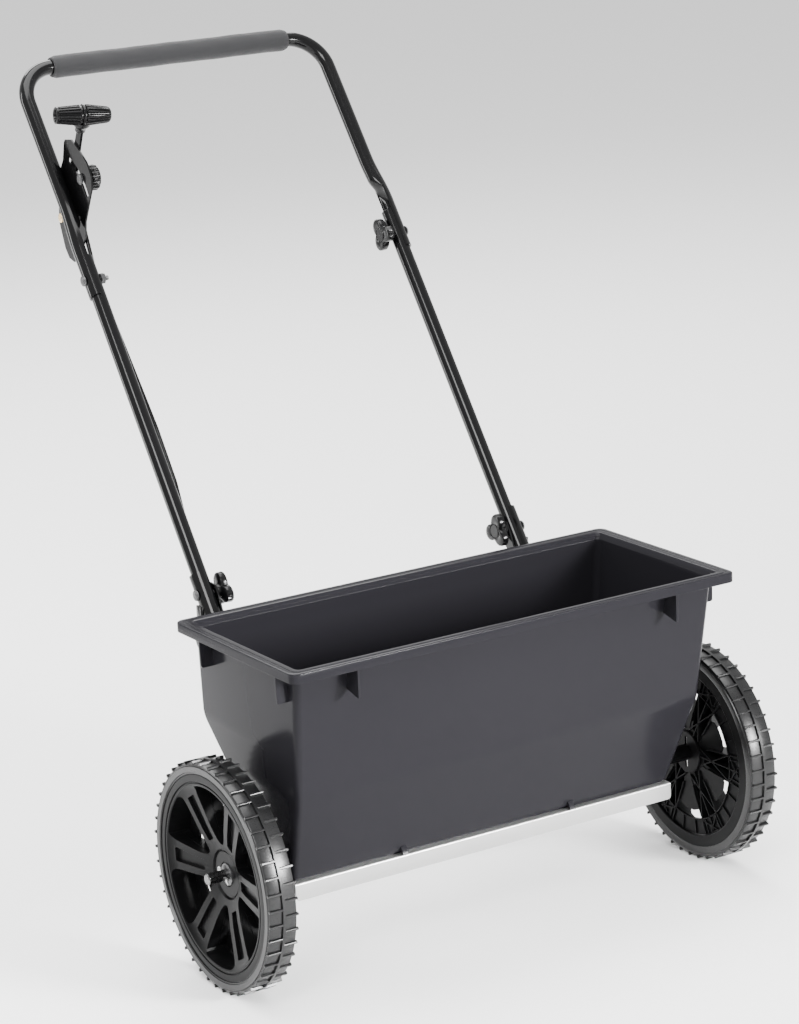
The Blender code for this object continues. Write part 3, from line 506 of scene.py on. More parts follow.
# ---------------------------------------------------------------- hopper and gate
def hopper_ring(half_x, front, back, z, radius, steps=7):
    """Points round a level rectangle with rounded corners; front and back are measured from the axle."""
    points = []
    for sx, y, quarter in ((1, back, 0), (-1, back, 1), (-1, front, 2), (1, front, 3)):
        cx = sx * (half_x - radius)
        cy = y - radius if quarter < 2 else y + radius
        for i in range(steps + 1):
            turn = math.pi / 2.0 * (quarter + i / steps)
            points.append(Vector((AXLE.x + cx + radius * math.cos(turn),
                                  AXLE.y + cy + radius * math.sin(turn), z)))
    return points


# (height, half length, front, back) of the outer wall; front and back are measured from the axle
WALL_STATIONS = (
    (0.1137, 0.2471, -0.0300, 0.0300),
    (0.1720, 0.2547, -0.0550, 0.0300),
    (0.2190, 0.2609, -0.0755, 0.0790),
    (0.2650, 0.2627, -0.0830, 0.1240),
    (0.3560, 0.2667, -0.0980, 0.1184),
)
FLOOR_TOP = 0.1162
RIM_DEPTH = 0.011
PORT_PITCH = 0.038
PORT_WIDTH = 0.008
PORT_LENGTH = 0.030
GATE_CLOSED = -0.0085   # how far the gate's slots stand aside from the floor's ports at rest
# (distance in from the rim's outer edge, height below its top)
RIM_PROFILE = ((0.0, 0.0106), (0.0, 0.0012), (0.0004, 0.0004), (0.0012, 0.0), (0.0050, 0.0),
               (0.0056, 0.0008), (0.0072, 0.0008), (0.0078, 0.0), (0.0118, 0.0), (0.0136, 0.0004),
               (0.0150, 0.0018))


def port_places():
    """Where the ports stand along the floor."""
    count = bpy.context.scene.spreader_hopper.ports
    return [(i - (count - 1) / 2.0) * PORT_PITCH for i in range(count)]


def build_hopper():
    settings = bpy.context.scene.spreader_hopper
    wall, corner = settings.wall, settings.corner
    front_rim, back_rim = RIM_FRONT - AXLE.y, RIM_BACK - AXLE.y

    def rim_ring(inset, z, radius):
        return hopper_ring(RIM_HALF_X - inset, front_rim + inset, back_rim - inset, z, radius)

    foot, top = WALL_STATIONS[0], WALL_STATIONS[-1]
    step = 0.004
    rings = [hopper_ring(foot[1] - step, foot[2] + step, foot[3] - step, z, 0.003)
             for z in (FLOOR_LOW, foot[0])]
    first_wall = len(rings)
    for z, half, front, back in WALL_STATIONS:
        rings.append(hopper_ring(half, front, back, z, corner))
    rings.append(hopper_ring(top[1] + 0.0004, top[2] - 0.0014, top[3] - 0.0003, RIM_TOP - 0.0035, corner))
    lip = 0.0024
    rings += [rim_ring(lip, RIM_TOP - 0.0030, 0.0075), rim_ring(lip, RIM_TOP - RIM_DEPTH, 0.0075),
              rim_ring(0.0006, RIM_TOP - RIM_DEPTH, 0.009)]
    for inset, drop in RIM_PROFILE:
        rings.append(rim_ring(inset, RIM_TOP - drop, max(0.005, 0.0095 - 0.25 * inset)))
    rings.append(hopper_ring(top[1] - wall + 0.0004, top[2] + wall - 0.0012, top[3] - wall + 0.0004,
                             RIM_TOP - 0.0070, corner - 0.001))
    for z, half, front, back in reversed(WALL_STATIONS):
        z = RIM_TOP - 0.0135 if z == top[0] else max(z, FLOOR_TOP)
        rings.append(hopper_ring(half - wall, front + wall, back - wall, z, corner - 0.001))
    bm = bmesh.new()
    loops = loft(bm, rings)
    folded = list(range(first_wall + 1, first_wall + 4)) + list(range(len(rings) - 4, len(rings) - 1))
    creases = [edge for index in folded for edge in loops[index][1]]
    bmesh.ops.bevel(bm, geom=creases, offset=settings.fold_soft, offset_type="OFFSET", affect="EDGES",
                    segments=4, profile=0.5, material=-1, clamp_overlap=True)
    cutter = bmesh.new()
    for x in port_places():
        add_block(cutter, (x, AXLE.y, FLOOR_LOW), (PORT_WIDTH, PORT_LENGTH, 0.014))
    bush_radius, bolt_radius = 0.0106, 0.0033
    for side in (-1.0, 1.0):
        add_turned(cutter, (side * 0.235, AXLE.y, AXLE.z), (side, 0, 0),
                   ((0.0, bush_radius), (0.03, bush_radius)), 32)
        add_turned(cutter, (side * 0.211, AXLE.y + 0.1196, 0.310), (0, 1, 0),
                   ((0.0, bolt_radius), (0.02, bolt_radius)), 20)
    bm = carve(bm, cutter)
    add_gussets(bm)
    add_guides(bm)
    piece("hopper_shell", bm, "hopper", "chassis", "hopper", bevel=0.0005)


def add_gussets(bm):
    """Stiffening webs between the rim's underside and the walls."""
    top = RIM_TOP - 0.0032
    thick = 0.0030
    for side in (-1.0, 1.0):
        x = AXLE.x + side * 0.203 - thick / 2.0
        profile = ((-0.0975, 0.3600), (-0.1035, top), (-0.1187, top), (-0.1180, 0.3300), (-0.1165, 0.3288),
                   (-0.0932, 0.3345))
        add_plate(bm, [Vector((x, AXLE.y + y, z)) for y, z in profile], (thick, 0.0, 0.0))
        for y in (-0.079, 0.084):
            reach = ((0.2657, 0.3600), (0.2690, top), (0.2804, top), (0.2795, 0.3310), (0.2780, 0.3295),
                     (0.2645, 0.3295))
            points = [Vector((AXLE.x + side * x_out, AXLE.y + y - thick / 2.0, z)) for x_out, z in reach]
            add_plate(bm, points, (0.0, thick, 0.0))


def add_guides(bm):
    """Moulded hooks that hold the sliding gate up against the floor."""
    for x in (-0.205, -0.110, 0.110, 0.205):
        hook = ((0.0290, 0.1215), (0.0290, 0.1125), (0.0352, 0.1125), (0.0352, 0.1078), (0.0320, 0.1078),
                (0.0320, 0.1062), (0.0372, 0.1062), (0.0372, 0.1215))
        add_plate(bm, [Vector((x - 0.004, AXLE.y + y, z)) for y, z in hook], (0.008, 0.0, 0.0))
    for x in (-0.110, 0.110):
        clip = ((-0.0310, 0.1200), (-0.0328, 0.1200), (-0.0362, 0.1150), (-0.0376, 0.1112),
                (-0.0362, 0.1108), (-0.0330, 0.1128), (-0.0290, 0.1138))
        add_plate(bm, [Vector((x - 0.0035, AXLE.y + y, z)) for y, z in clip], (0.007, 0.0, 0.0))


def build_gate():
    """Bent strip with a slot for every port, rounded lower corners and a tab for the crank."""
    box_low, box_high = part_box("gate_plate")
    thick = 0.0015
    front, tab_back = box_low.y, box_high.y
    back = AXLE.y + 0.034
    top, skirt = box_high.z, box_low.z
    bend = 0.0022
    section = [Vector((0.0, front, skirt)), Vector((0.0, front, top)), Vector((0.0, back, top))]
    outer = rounded_path(section, bend, 6)
    inner = rounded_path([Vector((0.0, front + thick, skirt)), Vector((0.0, front + thick, top - thick)),
                          Vector((0.0, back, top - thick))], bend - thick, 6)
    outline = outer + list(reversed(inner))
    bm = bmesh.new()
    half = box_high.x
    add_plate(bm, [point + Vector((-half, 0.0, 0.0)) for point in outline], (2.0 * half, 0.0, 0.0))
    cutter = bmesh.new()
    round_off, steps = 0.0045, 6
    for side in (-1.0, 1.0):
        points = [Vector((side * (half + 0.001), 0.0, skirt - 0.001))]
        for i in range(steps + 1):
            turn = math.pi / 2.0 * i / steps
            points.append(Vector((side * (half - round_off + round_off * math.cos(turn)), 0.0,
                                  skirt + round_off - round_off * math.sin(turn))))
        points.append(Vector((side * (half - round_off), 0.0, skirt - 0.001)))
        add_plate(cutter, [point + Vector((0.0, front - 0.002, 0.0)) for point in points], (0.0, 0.006, 0.0))
    for x in port_places():
        add_block(cutter, (x + GATE_CLOSED, AXLE.y, top), (PORT_WIDTH, PORT_LENGTH, 0.008))
    bm = carve(bm, cutter)
    finger = middle("crank_pin").x
    add_block(bm, (finger, (back + tab_back) / 2.0 - 0.001, top - thick / 2.0),
              (0.032, tab_back - back + 0.002, thick), edge=0.0004)
    piece("gate_strip", bm, "strip", "gate", "gate_plate", bevel=0.0003)


# ---------------------------------------------------------------- wheels and axle
def wheel_point(side, along, radius, turn):
    """Point of a wheel: distance from the middle of the machine, radius, angle from straight up."""
    return AXLE + Vector((side * along, radius * math.sin(turn), radius * math.cos(turn)))


def add_spun(bm, side, profile, steps=96):
    """Spin a closed profile of (along, radius) pairs round the axle."""
    verts = [bm.verts.new(wheel_point(side, along, radius, 0.0)) for along, radius in profile]
    edges = [bm.edges.new((verts[i], verts[(i + 1) % len(verts)])) for i in range(len(verts))]
    bmesh.ops.spin(bm, geom=verts + edges, cent=AXLE, axis=RIGHT, angle=2.0 * math.pi, steps=steps,
                   use_merge=True, use_duplicate=False)


def add_sector(bm, side, start, depth, outline, middle_turn):
    """Upright-walled block on a wheel's face; the outline is (radius, angle off the middle) pairs."""
    points = [wheel_point(side, start, radius, middle_turn + turn) for radius, turn in outline]
    add_plate(bm, points, (side * depth, 0.0, 0.0))


def window_outline():
    """Opening between two spokes: a rounded wedge."""
    points = []
    for radius, half in ((0.0345, 3.0), (0.0365, 7.5), (0.0420, 11.5), (0.0500, 14.2), (0.0650, 16.8),
                         (0.0800, 18.6), (0.0900, 19.2), (0.0960, 18.6), (0.0982, 17.4)):
        points.append((radius, math.radians(half)))
    arc = [(0.0992, math.radians(15.6 - 31.2 * i / 8.0)) for i in range(9)]
    left = [(radius, -half) for radius, half in reversed(points)]
    return points + arc + left


def web_outline():
    """Closed part of a wheel's back between two spokes, up to the small opening by the rim."""
    inner = [(0.0250, math.radians(6.0)), (0.0365, math.radians(9.0)), (0.0500, math.radians(15.5)),
             (0.0640, math.radians(17.6)), (0.0690, math.radians(13.0)), (0.0705, math.radians(6.0))]
    return inner + [(radius, -half) for radius, half in reversed(inner)]


WHEEL_BACK = 0.2990   # how far out the closed parts of a wheel's back stand
# (distance from the middle of the machine, radius) down the sloping outer face of a wheel
FACE_SLOPE = ((0.3264, 0.0990), (0.3236, 0.0950), (0.3222, 0.0860), (0.3178, 0.0560), (0.3146, 0.0400),
              (0.3108, 0.0275))


def face_at(radius):
    """How far out the sloping face stands at a radius."""
    for (x0, r0), (x1, r1) in zip(FACE_SLOPE, FACE_SLOPE[1:]):
        if radius >= r1:
            return x0 + (x1 - x0) * (r0 - radius) / (r0 - r1)
    return FACE_SLOPE[-1][0]


def build_wheel(side, name, body):
    """Wheel with windows between its spokes, pockets down them and ribs behind them."""
    settings = bpy.context.scene.spreader_wheel
    outer_x = high("tyre_right").x
    inner_x = outer_x - settings.width
    hub_face = low("wheel_washer_right").x - 0.0003
    profile = ((inner_x + 0.0010, 0.0068), (inner_x + 0.0010, 0.0240), (0.2998, 0.0250), (0.2998, 0.0985),
               (inner_x + 0.0008, 0.0990), (inner_x + 0.0002, 0.1000), (inner_x + 0.0002, 0.1120),
               (outer_x - 0.0012, 0.1120), (outer_x - 0.0010, 0.1060), (outer_x - 0.0012, 0.1046),
               (outer_x - 0.0026, 0.1040), (outer_x - 0.0026, 0.1030), (outer_x - 0.0014, 0.1024),
               (outer_x - 0.0016, 0.1004)) + FACE_SLOPE + (
               (hub_face, 0.0262), (hub_face - 0.0002, 0.0254), (hub_face + 0.0012, 0.0248),
               (hub_face + 0.0012, 0.0138), (hub_face, 0.0132), (hub_face, 0.0068))
    bm = bmesh.new()
    add_spun(bm, side, profile)
    share = 2.0 * math.pi / settings.spokes
    windows = [share * k for k in range(settings.spokes)]
    spokes = [share * (k + 0.5) for k in range(settings.spokes)]
    cutter = bmesh.new()
    for window in windows:
        add_sector(cutter, side, 0.2960, 0.0380, window_outline(), window)
    if side > 0.0:
        add_block(cutter, (middle("drive_pin").x - 0.003, AXLE.y, AXLE.z), (0.0105, 0.0042, 0.0370))
    bm = carve(bm, cutter)
    cutter = bmesh.new()
    for spoke in spokes:
        add_spoke_pockets(cutter, side, spoke)
    bm = carve(bm, cutter)
    for window, spoke in zip(windows, spokes):
        add_back_ribs(bm, side, spoke)
        add_sector(bm, side, WHEEL_BACK, 0.0012, web_outline(), window)
    ribs = settings.spokes * 4
    for k in range(ribs):
        turn = 2.0 * math.pi * (k + 0.5) / ribs
        outward, _ = spoke_frame(side, turn)
        add_block(bm, wheel_point(side, WHEEL_BACK, 0.0, 0.0) + outward * 0.0888, (0.0036, 0.0013, 0.0180),
                  Matrix.Rotation(-turn, 4, "X"))
    for ring_x, ring_r, thick, deep in ((0.2968, 0.0790, 0.0013, 0.0030), (0.2968, 0.0232, 0.0016, 0.0030),
                                        (WHEEL_BACK, 0.0790, 0.0195, 0.0012)):
        add_spun(bm, side, ((ring_x, ring_r), (ring_x, ring_r + thick), (ring_x + deep, ring_r + thick),
                            (ring_x + deep, ring_r)))
    piece("wheel_body_" + name, bm, "wheel", body, "wheel_" + name, bevel=0.0006, segments=1)
    build_tyre(side, name, body, inner_x, outer_x)


def spoke_frame(side, spoke):
    """Outward direction of a spoke and the direction across it."""
    centre = wheel_point(side, 0.0, 0.0, spoke)
    outward, across = (wheel_point(side, 0.0, 1.0, spoke + turn) - centre for turn in (0.0, math.pi / 2.0))
    return outward, across


def add_spoke_pockets(cutter, side, spoke):
    """Recess along the front of a spoke and the hollow in its back; outlines are (radius, half width)."""
    outward, across = spoke_frame(side, spoke)
    centre = wheel_point(side, 0.0, 0.0, 0.0)
    front = ((0.0400, 0.0048), (0.0410, 0.0058), (0.0892, 0.0080), (0.0904, 0.0068))
    back = ((0.0290, 0.0080), (0.0450, 0.0110), (0.0700, 0.0140), (0.0935, 0.0154), (0.0955, 0.0140))
    for edge, start_at, depth in ((front, lambda r: face_at(r) - 0.0040, 0.014),
                                  (back, lambda r: 0.2960, 0.0122)):
        outline = list(edge) + [(r, -w) for r, w in reversed(edge)]
        points = [centre + outward * r + across * w + RIGHT * (side * start_at(r)) for r, w in outline]
        add_plate(cutter, points, (side * depth, 0.0, 0.0))


def add_back_ribs(bm, side, spoke):
    """Crossed ribs in the hollow behind a spoke, standing a little proud of the wheel's back."""
    outward, across = spoke_frame(side, spoke)
    centre = wheel_point(side, 0.0, 0.0, 0.0)
    low_x, high_x, thick = 0.2968, 0.3086, 0.0013
    lines = [((0.0240, 0.0), (0.0960, 0.0)), ((0.0260, -0.0100), (0.0790, 0.0160)),
             ((0.0260, 0.0100), (0.0790, -0.0160)), ((0.0790, 0.0160), (0.0960, -0.0060)),
             ((0.0790, -0.0160), (0.0960, 0.0060))]
    for edge in (-1.0, 1.0):
        wall = [(0.0380, 0.0118), (0.0500, 0.0138), (0.0650, 0.0150), (0.0800, 0.0160), (0.0960, 0.0184)]
        lines += [((r0, edge * w0), (r1, edge * w1)) for (r0, w0), (r1, w1) in zip(wall, wall[1:])]
    for (r0, w0), (r1, w1) in lines:
        a = centre + outward * r0 + across * w0
        b = centre + outward * r1 + across * w1
        wide = (b - a).normalized().cross(RIGHT) * (thick / 2.0)
        shift = RIGHT * (side * low_x)
        add_plate(bm, [point + shift for point in (a + wide, b + wide, b - wide, a - wide)],
                  (side * (high_x - low_x), 0.0, 0.0))


def build_tyre(side, name, body, inner_x, outer_x):
    """Tread with a spine round its middle and two rows of lugs, half a pitch apart."""
    settings = bpy.context.scene.spreader_wheel
    tread = settings.radius - settings.lug_height
    centre_x = (inner_x + outer_x) / 2.0
    tyre_in = 0.1121
    spine = tread + settings.lug_height * 0.9
    profile = ((inner_x + 0.0004, tyre_in), (inner_x, tyre_in + 0.0012), (inner_x, 0.1205),
               (inner_x + 0.0010, 0.1212), (inner_x + 0.0006, 0.1222), (inner_x + 0.0014, tread - 0.0006),
               (inner_x + 0.0026, tread), (centre_x - 0.0021, tread), (centre_x - 0.0015, spine),
               (centre_x + 0.0015, spine), (centre_x + 0.0021, tread),
               (outer_x - 0.0026, tread), (outer_x - 0.0014, tread - 0.0006), (outer_x - 0.0006, 0.1222),
               (outer_x - 0.0012, 0.1212), (outer_x, 0.1205), (outer_x, 0.1148), (outer_x - 0.0014, 0.1140),
               (outer_x - 0.0014, 0.1130), (outer_x - 0.0004, tyre_in))
    bm = bmesh.new()
    add_spun(bm, side, profile, 144)
    half = (outer_x - inner_x) / 2.0
    for row, start in ((-1.0, 0.0), (1.0, 0.5)):
        for k in range(settings.lugs):
            turn = 2.0 * math.pi * (k + start) / settings.lugs
            place = wheel_point(side, centre_x + row * (half / 2.0 + 0.0004),
                                tread + settings.lug_height / 2.0 - 0.0006, turn)
            add_block(bm, place, (half - 0.0006, 0.0034, settings.lug_height + 0.0008),
                      Matrix.Rotation(-turn, 4, "X"), taper=0.66, edge=0.0004)
    piece("tyre_tread_" + name, bm, "tread", body, "tyre_" + name, sharp=32.0)


def build_axle():
    axle_low, axle_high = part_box("axle")
    radius = (axle_high.z - axle_low.z) / 2.0
    half = axle_high.x
    ease = 0.0012
    bm = bmesh.new()
    profile = ((-half, radius - ease), (-half + ease, radius), (half - ease, radius), (half, radius - ease))
    add_turned(bm, AXLE, RIGHT, profile, 40)
    piece("axle_bar", bm, "axle", "drive_axle", "axle")
    for name in ("left", "right"):
        build_split_pin(name)


def build_split_pin(name):
    """Split pin: an eye on one side of the axle and two spread legs on the other."""
    centre = middle("cotter_pin_" + name)
    centre = Vector((centre.x, AXLE.y, AXLE.z))
    wire = 0.0010
    bm = bmesh.new()
    lean = Matrix.Rotation(math.radians(-62.0), 3, "X")
    for leg in (-1.0, 1.0):
        route = [Vector((0.0, 0.0, 0.0118)), Vector((0.0, leg * 0.0030, 0.0104)),
                 Vector((0.0, leg * 0.0011, 0.0078)), Vector((0.0, leg * 0.0009, -0.0068)),
                 Vector((leg * 0.0008, leg * 0.0040, -0.0112))]
        path = [centre + lean @ point for point in rounded_path(route, 0.002, 5)]
        add_tube(bm, path, wire, None, 12)
    piece("split_pin_" + name, bm, "zinc", "drive_axle", "cotter_pin_" + name)


# ---------------------------------------------------------------- handle
UPPER_X = 0.2025           # half the spacing of the upper tube's legs
UPPER_END = 0.0219         # how far the upper tube runs on past its bolts
LOWER_END = 0.051          # how far up the upper tube the lower tubes reach
TUBE_WALL = 0.0015
CRUSH_BLEND = 0.062        # length over which the crushed end turns round again
CRUSH_INNER_SHARE = 0.52   # share of that length in which its inner side does


def joint_point(s, x):
    """Point on the lower tube's centre line, measured from the end of the upper tube."""
    lowest = UPPER_JOINT - ALONG * UPPER_END
    return Vector((x, lowest.y, lowest.z)) + ALONG * s


def crushed_ring(centre, side, share, round_r, outer_r, inner_r, inner_share=None, count=40):
    """Section of a tube as it is pressed round another: share 0 is round, 1 is a closed crescent."""
    inner_share = share if inner_share is None else inner_share
    out = RIGHT * side
    cross = ALONG.cross(out)
    points = []
    for i in range(count):
        turn = 2.0 * math.pi * i / count
        c, s = math.cos(turn), math.sin(turn)
        plain = out * (round_r * c) + cross * (round_r * s)
        if c >= 0.0:
            points.append(centre + plain.lerp(out * (outer_r * c) + cross * (outer_r * s), share))
        else:
            points.append(centre + plain.lerp(out * (-inner_r * c) + cross * (inner_r * s), inner_share))
    return points


def crush_stations(side, leg_at, length, steps=28):
    """Rings from the crushed end of a leg up to its round part."""
    outer_r, inner_r = 0.0109, 0.0091
    start = length - 0.002
    rings = []
    for s in (0.0, length * 0.5, start):
        rings.append(crushed_ring(joint_point(s, side * LOWER_X), side, 1.0, TUBE_RADIUS, outer_r, inner_r))
    for i in range(1, steps + 1):
        t = i / steps
        s = start + CRUSH_BLEND * t
        share = 1.0 - t * t * (3.0 - 2.0 * t)
        centre = joint_point(s, side * LOWER_X).lerp(leg_at(s), 1.0 - share)
        quick = min(1.0, t / CRUSH_INNER_SHARE)
        inner_share = 1.0 - quick * quick * (3.0 - 2.0 * quick)
        rings.append(crushed_ring(centre, side, share, TUBE_RADIUS, outer_r, inner_r, inner_share))
    return rings


def build_upper_handle():
    """One bent tube whose two ends are crushed round the lower tubes."""
    settings = bpy.context.scene.spreader_handle
    foot = joint_point(0.0, 0.0)
    bar = GRIP_CENTRE
    leg = (Vector((0.0, bar.y, bar.z)) - foot).normalized()

    def leg_at(side):
        return lambda s: Vector((side * UPPER_X, foot.y, foot.z)) + leg * s

    round_from = settings.crush_length - 0.002 + CRUSH_BLEND
    left, right = (crush_stations(side, leg_at(side), settings.crush_length) for side in (-1.0, 1.0))
    corners = [leg_at(-1.0)(round_from), Vector((-UPPER_X, bar.y, bar.z)), Vector((UPPER_X, bar.y, bar.z)),
               leg_at(1.0)(round_from)]
    path = rounded_path(corners, settings.bend_radius, 16)
    frames = carried_frames(path, -RIGHT)
    count = len(left[-1])
    bend = [circle_points(point, u, v, settings.tube_radius, count) for point, _, u, v in frames[1:]]
    if frames[0][3].dot(left[-1][count // 4] - path[0]) < 0.0:
        bend = [[ring[-i % count] for i in range(count)] for ring in bend]
    bm = bmesh.new()
    loft(bm, left + bend + align_rings(bend[-1], right[-2::-1]))
    piece("handle_upper_tube", bm, "paint", "chassis", "upper_handle", sharp=50.0)


def align_rings(reference, rings):
    """Turn and, where needed, reverse rings so that they line up with the one before."""
    count = len(reference)
    best = None
    first = rings[0]
    for direction in (1, -1):
        for start in range(count):
            gap = sum((first[(start + direction * i) % count] - reference[i]).length
                      for i in range(0, count, 4))
            if best is None or gap < best[0]:
                best = (gap, start, direction)
    _, start, direction = best
    return [[ring[(start + direction * i) % count] for i in range(count)] for ring in rings]


def build_lower_tubes():
    settings = bpy.context.scene.spreader_handle
    for side, name in ((-1.0, "left"), (1.0, "right")):
        box_low, box_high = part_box("lower_tube_" + name)
        length = (box_high.z - box_low.z - 2.0 * ALONG.y * settings.tube_radius) / ALONG.z
        path = [joint_point(LOWER_END - length * share, side * LOWER_X) for share in (1.0, 0.5, 0.0)]
        bm = bmesh.new()
        add_tube(bm, path, settings.tube_radius, settings.tube_radius - TUBE_WALL, 40)
        piece("handle_lower_tube_" + name, bm, "paint", "chassis", "lower_tube_" + name)


def build_grip():
    """Foam sleeve with eased ends and a slight, even softness along it."""
    count, stations = 48, 60
    bore = TUBE_RADIUS + 0.0001

    def ring_at(x, radius_at):
        return [GRIP_CENTRE + Vector((x, radius_at(t) * math.cos(t), radius_at(t) * math.sin(t)))
                for t in turns(count)]

    rings = [ring_at(-GRIP_HALF + 0.0002, lambda t: bore)]
    for i in range(stations + 1):
        x = -GRIP_HALF + 2.0 * GRIP_HALF * i / stations
        shrink = 0.0016 * max(0.0, 1.0 - min(x + GRIP_HALF, GRIP_HALF - x) / 0.0030) ** 2

        def soft_radius(t):
            wave = 0.00018 * math.sin(x * 61.0 + 2.0 * math.sin(t)) + 0.00012 * math.sin(x * 143.0 - 3.0 * t)
            return GRIP_RADIUS - 0.0003 + wave - shrink

        rings.append(ring_at(x, soft_radius))
    rings.append(ring_at(GRIP_HALF - 0.0002, lambda t: bore))
    bm = bmesh.new()
    loft(bm, rings, closed=True)
    grip = piece("foam_sleeve", bm, "foam", "chassis", "foam_grip", sharp=60.0)


def build_stand():
    """U-shaped tube with straps that nest round the lower tubes."""
    foot_z = low("stand_tube").z + TUBE_RADIUS
    y = middle("foot_pad_left").y
    top_x, leg_x, shoulder_z, knee_z = 0.2145, 0.168, 0.316, 0.262
    half = [Vector((-top_x, y, 0.334)), Vector((-top_x, y, shoulder_z)), Vector((-leg_x, y, knee_z)),
            Vector((-leg_x, y, foot_z))]
    corners = half + [Vector((-point.x, point.y, point.z)) for point in reversed(half)]
    bm = bmesh.new()
    add_tube(bm, rounded_path(corners, 0.033, 14), TUBE_RADIUS, TUBE_RADIUS - TUBE_WALL, 36, BACK)
    for side in (-1.0, 1.0):
        loft(bm, [crushed_ring(joint_point(s, side * LOWER_X), side, 1.0, TUBE_RADIUS, 0.0116, 0.0091)
                  for s in (-0.4178, -0.349)])
        add_block(bm, (side * 0.2159, y - 0.0012, 0.3390), (0.0036, 0.0150, 0.0420), edge=0.0008)
    piece("stand_frame", bm, "paint", "chassis", "stand_tube", sharp=45.0)


# ---------------------------------------------------------------- knobs, lever and rod
def add_knob(bm, centre, axis, radius, depth, lead):
    """Three-lobed hand knob with ribbed lobe ends and a raised cap."""
    waist = radius * 0.44
    stations = ((0.0, waist * 0.95, 0.0), (0.0006, waist, 0.0), (depth * 0.28, waist, 0.0),
                (depth * 0.34, radius * 0.90, 1.0), (depth * 0.42, radius * 0.985, 1.0),
                (depth * 0.84, radius, 1.0), (depth * 0.93, radius * 0.97, 1.0),
                (depth * 0.98, radius * 0.88, 1.0), (depth * 0.985, radius * 0.5, 0.3),
                (depth * 0.93, radius * 0.44, 0.0),
                (depth * 0.93, radius * 0.40, 0.0), (depth, radius * 0.36, 0.0), (depth, radius * 0.16, 0.0))
    count = 96
    rings = []
    for along, reach, lobed in stations:
        ring = []
        for t in turns(count):
            wave = 0.5 + 0.5 * math.cos(3.0 * (t - lead))
            profile = 0.52 + 0.48 * wave ** 0.62
            ribs = 0.018 * math.cos(t * 48.0) * max(0.0, wave - 0.72) / 0.28
            r = reach * ((1.0 - lobed) + lobed * (profile + ribs))
            ring.append(centre + axis * along + BACK * (r * math.cos(t)) + UP * (r * math.sin(t)))
        rings.append(ring)
    loft(bm, rings)


def add_ribbed_knob(bm, centre, axis, radius, depth):
    """Round knob with ribs all round its rim; stations are (share of depth, share of radius, ribbed)."""
    count = 112
    stations = ((0.0, 0.52, 0.0), (0.18, 0.52, 0.0), (0.22, 0.93, 0.5), (0.28, 0.98, 1.0), (0.80, 1.0, 1.0),
                (0.90, 0.96, 0.6), (0.97, 0.86, 0.0), (1.0, 0.74, 0.0), (0.94, 0.62, 0.0), (0.94, 0.20, 0.0))
    rings = []
    for along, share, ribbed in stations:
        ring = []
        for t in turns(count):
            r = radius * share * (1.0 + 0.05 * ribbed * (math.tanh(2.0 * math.cos(14.0 * t)) - 0.9))
            ring.append(centre + axis * (along * depth) + BACK * (r * math.cos(t)) + UP * (r * math.sin(t)))
        rings.append(ring)
    loft(bm, rings)


def build_knobs():
    """Three hand knobs, each turned to its own angle, and the rate stop's round one."""
    for name, side, lead in (("lower_knob_left", -1.0, 1.25), ("lower_knob_right", 1.0, 1.75),
                             ("upper_knob_right", 1.0, -1.25)):
        box_low, box_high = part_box(name)
        bolt = middle(name.replace("knob", "bolt"))
        base = Vector((box_high.x if side > 0.0 else box_low.x, bolt.y, bolt.z))
        bm = bmesh.new()
        add_knob(bm, base, RIGHT * -side, 0.0205, box_high.x - box_low.x, lead)
        piece("hand_" + name, bm, "knob", name, name, sharp=40.0)
    box_low, box_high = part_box("rate_stop_knob")
    bolt = middle("rate_stop_bolt")
    bm = bmesh.new()
    add_ribbed_knob(bm, Vector((box_low.x, bolt.y, bolt.z)), RIGHT, 0.0148, box_high.x - box_low.x)
    piece("rate_stop_hand_knob", bm, "knob", "rate_knob", "rate_stop_knob", sharp=40.0)


